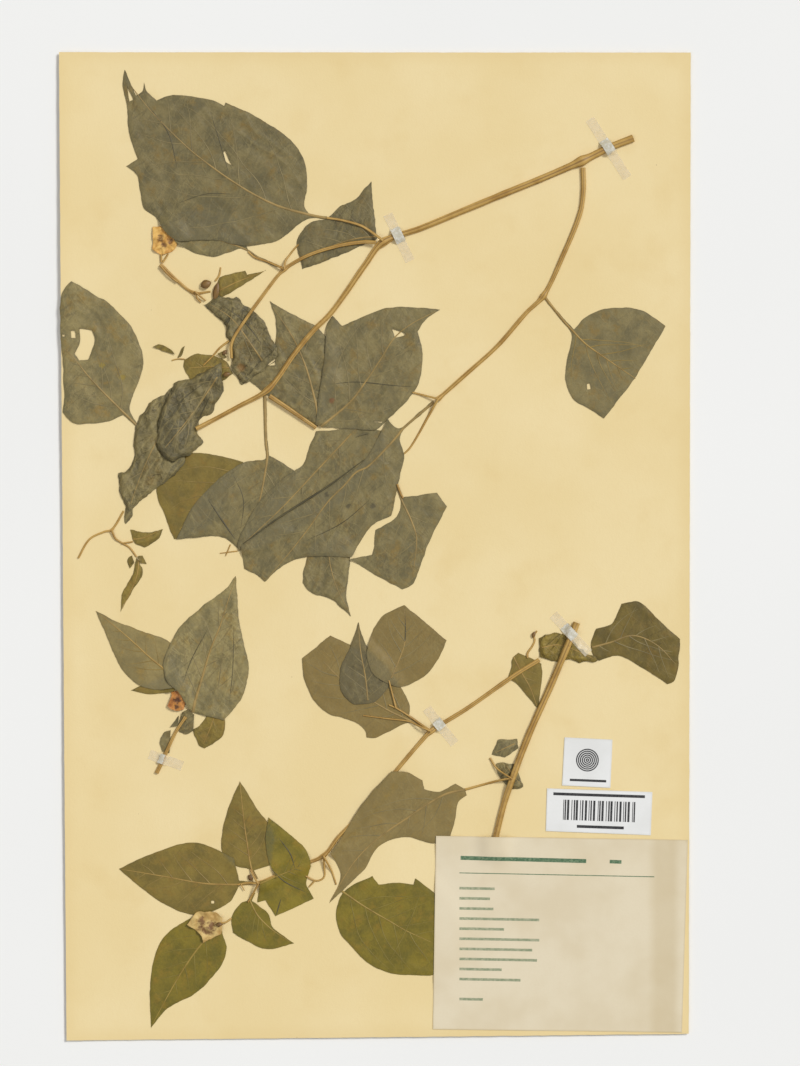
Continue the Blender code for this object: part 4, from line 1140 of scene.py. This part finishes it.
lay_buds("lower_buds", [(-53, -141, 3.0, 2.2, 2.2), (67.6, -37.6, 2.8, 1.8, 1.3),
                        (-66.2, -160.8, 3.0, 2.2, 0.1)])


# ---------------------------------------------------------------- labels

class Label:
    """A paper label, draped softly, with plain printed marks."""

    def __init__(self, name, band=None):
        loops = [ragged(curve(node_loops(name)[0], 1.0, True), 5, 0.03)]
        paper = Layer(loops, 1.4, LABEL_THICKNESS, 12.0)
        self.window = paper.window
        self.surface = drape(paper.window, 4) + 0.04 + LABEL_THICKNESS
        self.surface += 0.06 * (1 + noise(paper.x, paper.y, 30, 6))
        self.shape = Shape()
        shade = 0.0
        if band:
            low, high = band
            across = paper.plan[:, 0]
            shade = 0.35 * np.clip((across - low) / 4, 0, 1) * np.clip((high - across) / 3, 0, 1)
        paper.lay(self.shape, self.surface, edge=paper.rim(1.6), band=shade)
        paper.settle(self.surface)

    def on_paper(self, x, y, up):
        return x, y, float(sample(self.surface, self.window, x, y)) + up

    def bar(self, start, end, wide, ink=1):
        """A plain printed bar: a closed film standing a hair above the paper."""
        plan = np.array([p[:] for p in curve([start, end], 1.0)])
        ahead = (plan[-1] - plan[0]) / np.linalg.norm(plan[-1] - plan[0])
        side = np.array([ahead[1], -ahead[0]]) * wide / 2
        corners = ((-1, INK_BOTTOM), (1, INK_BOTTOM), (1, INK_TOP), (-1, INK_TOP))
        vertices = [self.on_paper(*(spot + side * edge), up)
                    for spot in plan for edge, up in corners]
        self.shape.add(vertices, ring_faces(len(plan), 4), ink)

    def ring(self, x, y, radius, wide=0.5, count=48):
        """A plain printed ring."""
        corners = ((radius, INK_BOTTOM), (radius + wide, INK_BOTTOM), (radius + wide, INK_TOP),
                   (radius, INK_TOP))
        vertices, faces = [], []
        for i in range(count):
            turn = 2 * math.pi * i / count
            vertices += [self.on_paper(x + reach * math.cos(turn), y + reach * math.sin(turn), up)
                         for reach, up in corners]
            here, following = i * 4, (i + 1) % count * 4
            for k in range(4):
                after = (k + 1) % 4
                faces.append((here + k, here + after, following + after, following + k))
        self.shape.add(vertices, faces, 1)


def square_label():
    label = Label("square_label")
    for number in range(6):
        label.ring(90.5, -91, 0.25 + number * 0.82)
    label.bar((83, -99.4), (98.5, -100), 1.0)
    label.shape.make("square_label", [WHITE_PAPER, BLACK_INK], "white_paper", ["square_label"])


def narrow_label():
    """A label with upright bars of three plain widths that stand for no code."""
    label = Label("narrow_label")
    label.bar((76, -105.3), (115, -106.6), 1.2)
    label.bar((86, -119.2), (106, -119.9), 1.2)
    x = 80.5
    number = 0
    while x < 111:
        wide = 0.3 + 0.3 * (number * 7 % 3)
        y = -107.8 - (x - 80) * 0.035
        label.bar((x, y), (x - 0.3, y - 8.6), wide)
        x += wide + 0.45 + 0.35 * (number * 5 % 4) / 3
        number += 1
    label.shape.make("narrow_label", [WHITE_PAPER, BLACK_INK], "white_paper", ["narrow_label"])


def form_label():
    label = Label("form_label", (116, 130))
    label.bar((36.5, -132.6), (90, -134), 1.7)
    label.bar((100, -134.2), (105, -134.4), 1.5)
    label.bar((36, -139), (119, -140.7), 0.35)
    for number, long in enumerate((15, 13, 14.5, 34, 19, 34, 31, 33, 18, 26)):
        y = -145.5 - 4.3 * number
        label.bar((36, y), (36 + long, y - 0.02 * long), 1.1, 2)
    label.bar((36, -192.7), (46, -192.9), 1.1, 2)
    label.shape.make("form_label", [FORM_PAPER, GREEN_INK, FAINT_INK], "label_paper",
                     ["form_label"])


square_label()
narrow_label()
form_label()


# ---------------------------------------------------------------- straps

def lay_strap(name, start, end, stem_from, stem_to):
    """A gummed strap: clear over the card, and whiter and nearly opaque where it is pulled over
    the stem, a painted glare.
    """
    loops = [ragged(curve(node_loops(name)[0], 0.6, True), 9, 0.06)]
    strap = Layer(loops, 0.6, STRAP_THICKNESS)
    surface = drape(strap.window, 1) + 0.05 + STRAP_THICKNESS
    surface += 0.05 * (1 + noise(strap.x, strap.y, 2.5, 4))
    shape = Shape()
    strap.lay(shape, surface)
    along = np.array(end, dtype=float) - np.array(start, dtype=float)
    length = np.linalg.norm(along)
    along /= length
    for number, face in enumerate(shape.faces):
        middle = np.mean([shape.vertices[i][:2] for i in face], axis=0)
        share = float(np.dot(middle - np.array(start), along)) / length
        if stem_from < share < stem_to:
            shape.materials[number] = 1
    shape.make(name, [TAPE_CLEAR, TAPE_GLARE], "tape", [name])


lay_strap("strap_upper_end", (91.5, 182), (107.5, 157), 0.36, 0.58)
lay_strap("strap_upper_fork", (5.5, 141.5), (15, 121.5), 0.3, 0.6)
lay_strap("strap_left_stem", (-96, -88.5), (-82, -93.5), 0.3, 0.44)
lay_strap("strap_lower_stem", (22, -69), (34, -84), 0.34, 0.56)
lay_strap("strap_thick_stem", (76, -29), (91, -45.5), 0.3, 0.6)


# ---------------------------------------------------------------- table, light and camera

def make_floor():
    """A white table top just under the card."""
    paint = Paint("table_top", 0.9)
    colour = paint.mix(paint.band(paint.cloud(300, 2), 0.3, 0.7),
                       linear(248, 248, 246), linear(245, 245, 243))
    mesh = bpy.data.meshes.new("table_top")
    reach, drop = 6.0, -0.0004
    mesh.from_pydata([(-reach, -reach, drop), (reach, -reach, drop), (reach, reach, drop),
                      (-reach, reach, drop)], [], [(0, 1, 2, 3)])
    mesh.materials.append(paint.finish(colour))
    floor = bpy.data.objects.new("table_top", mesh)
    bpy.context.scene.collection.objects.link(floor)


def make_lights():
    """An even white sky and two suns: for each its direction, power and angle in degrees."""
    scene = bpy.context.scene
    world = bpy.data.worlds.new("studio")
    scene.world = world
    world.use_nodes = True
    sky = world.node_tree.nodes["Background"]
    sky.inputs["Color"].default_value = (1.0, 1.0, 1.0, 1.0)
    sky.inputs["Strength"].default_value = 0.35
    for name, aim, power, soft in (("key", (0.8, 0.6, 1.0), 2.12, 16),
                                  ("fill", (-0.5, -0.3, 1.2), 0.4, 40)):
        lamp = bpy.data.lights.new(name, "SUN")
        lamp.energy = power
        lamp.angle = math.radians(soft)
        holder = bpy.data.objects.new(name, lamp)
        holder.rotation_euler = Vector(aim).to_track_quat("Z", "Y").to_euler()
        scene.collection.objects.link(holder)


def make_camera():
    """Looking straight down from 1.26 m above the table."""
    scene = bpy.context.scene
    lens = bpy.data.cameras.new("camera")
    lens.lens = 100
    lens.sensor_width = 36
    lens.sensor_fit = "AUTO"
    holder = bpy.data.objects.new("camera", lens)
    holder.location = (0.0107, 0.0057, 1.262)
    scene.collection.objects.link(holder)
    scene.camera = holder
    scene.view_settings.view_transform = "Standard"


make_floor()
make_lights()
make_camera()
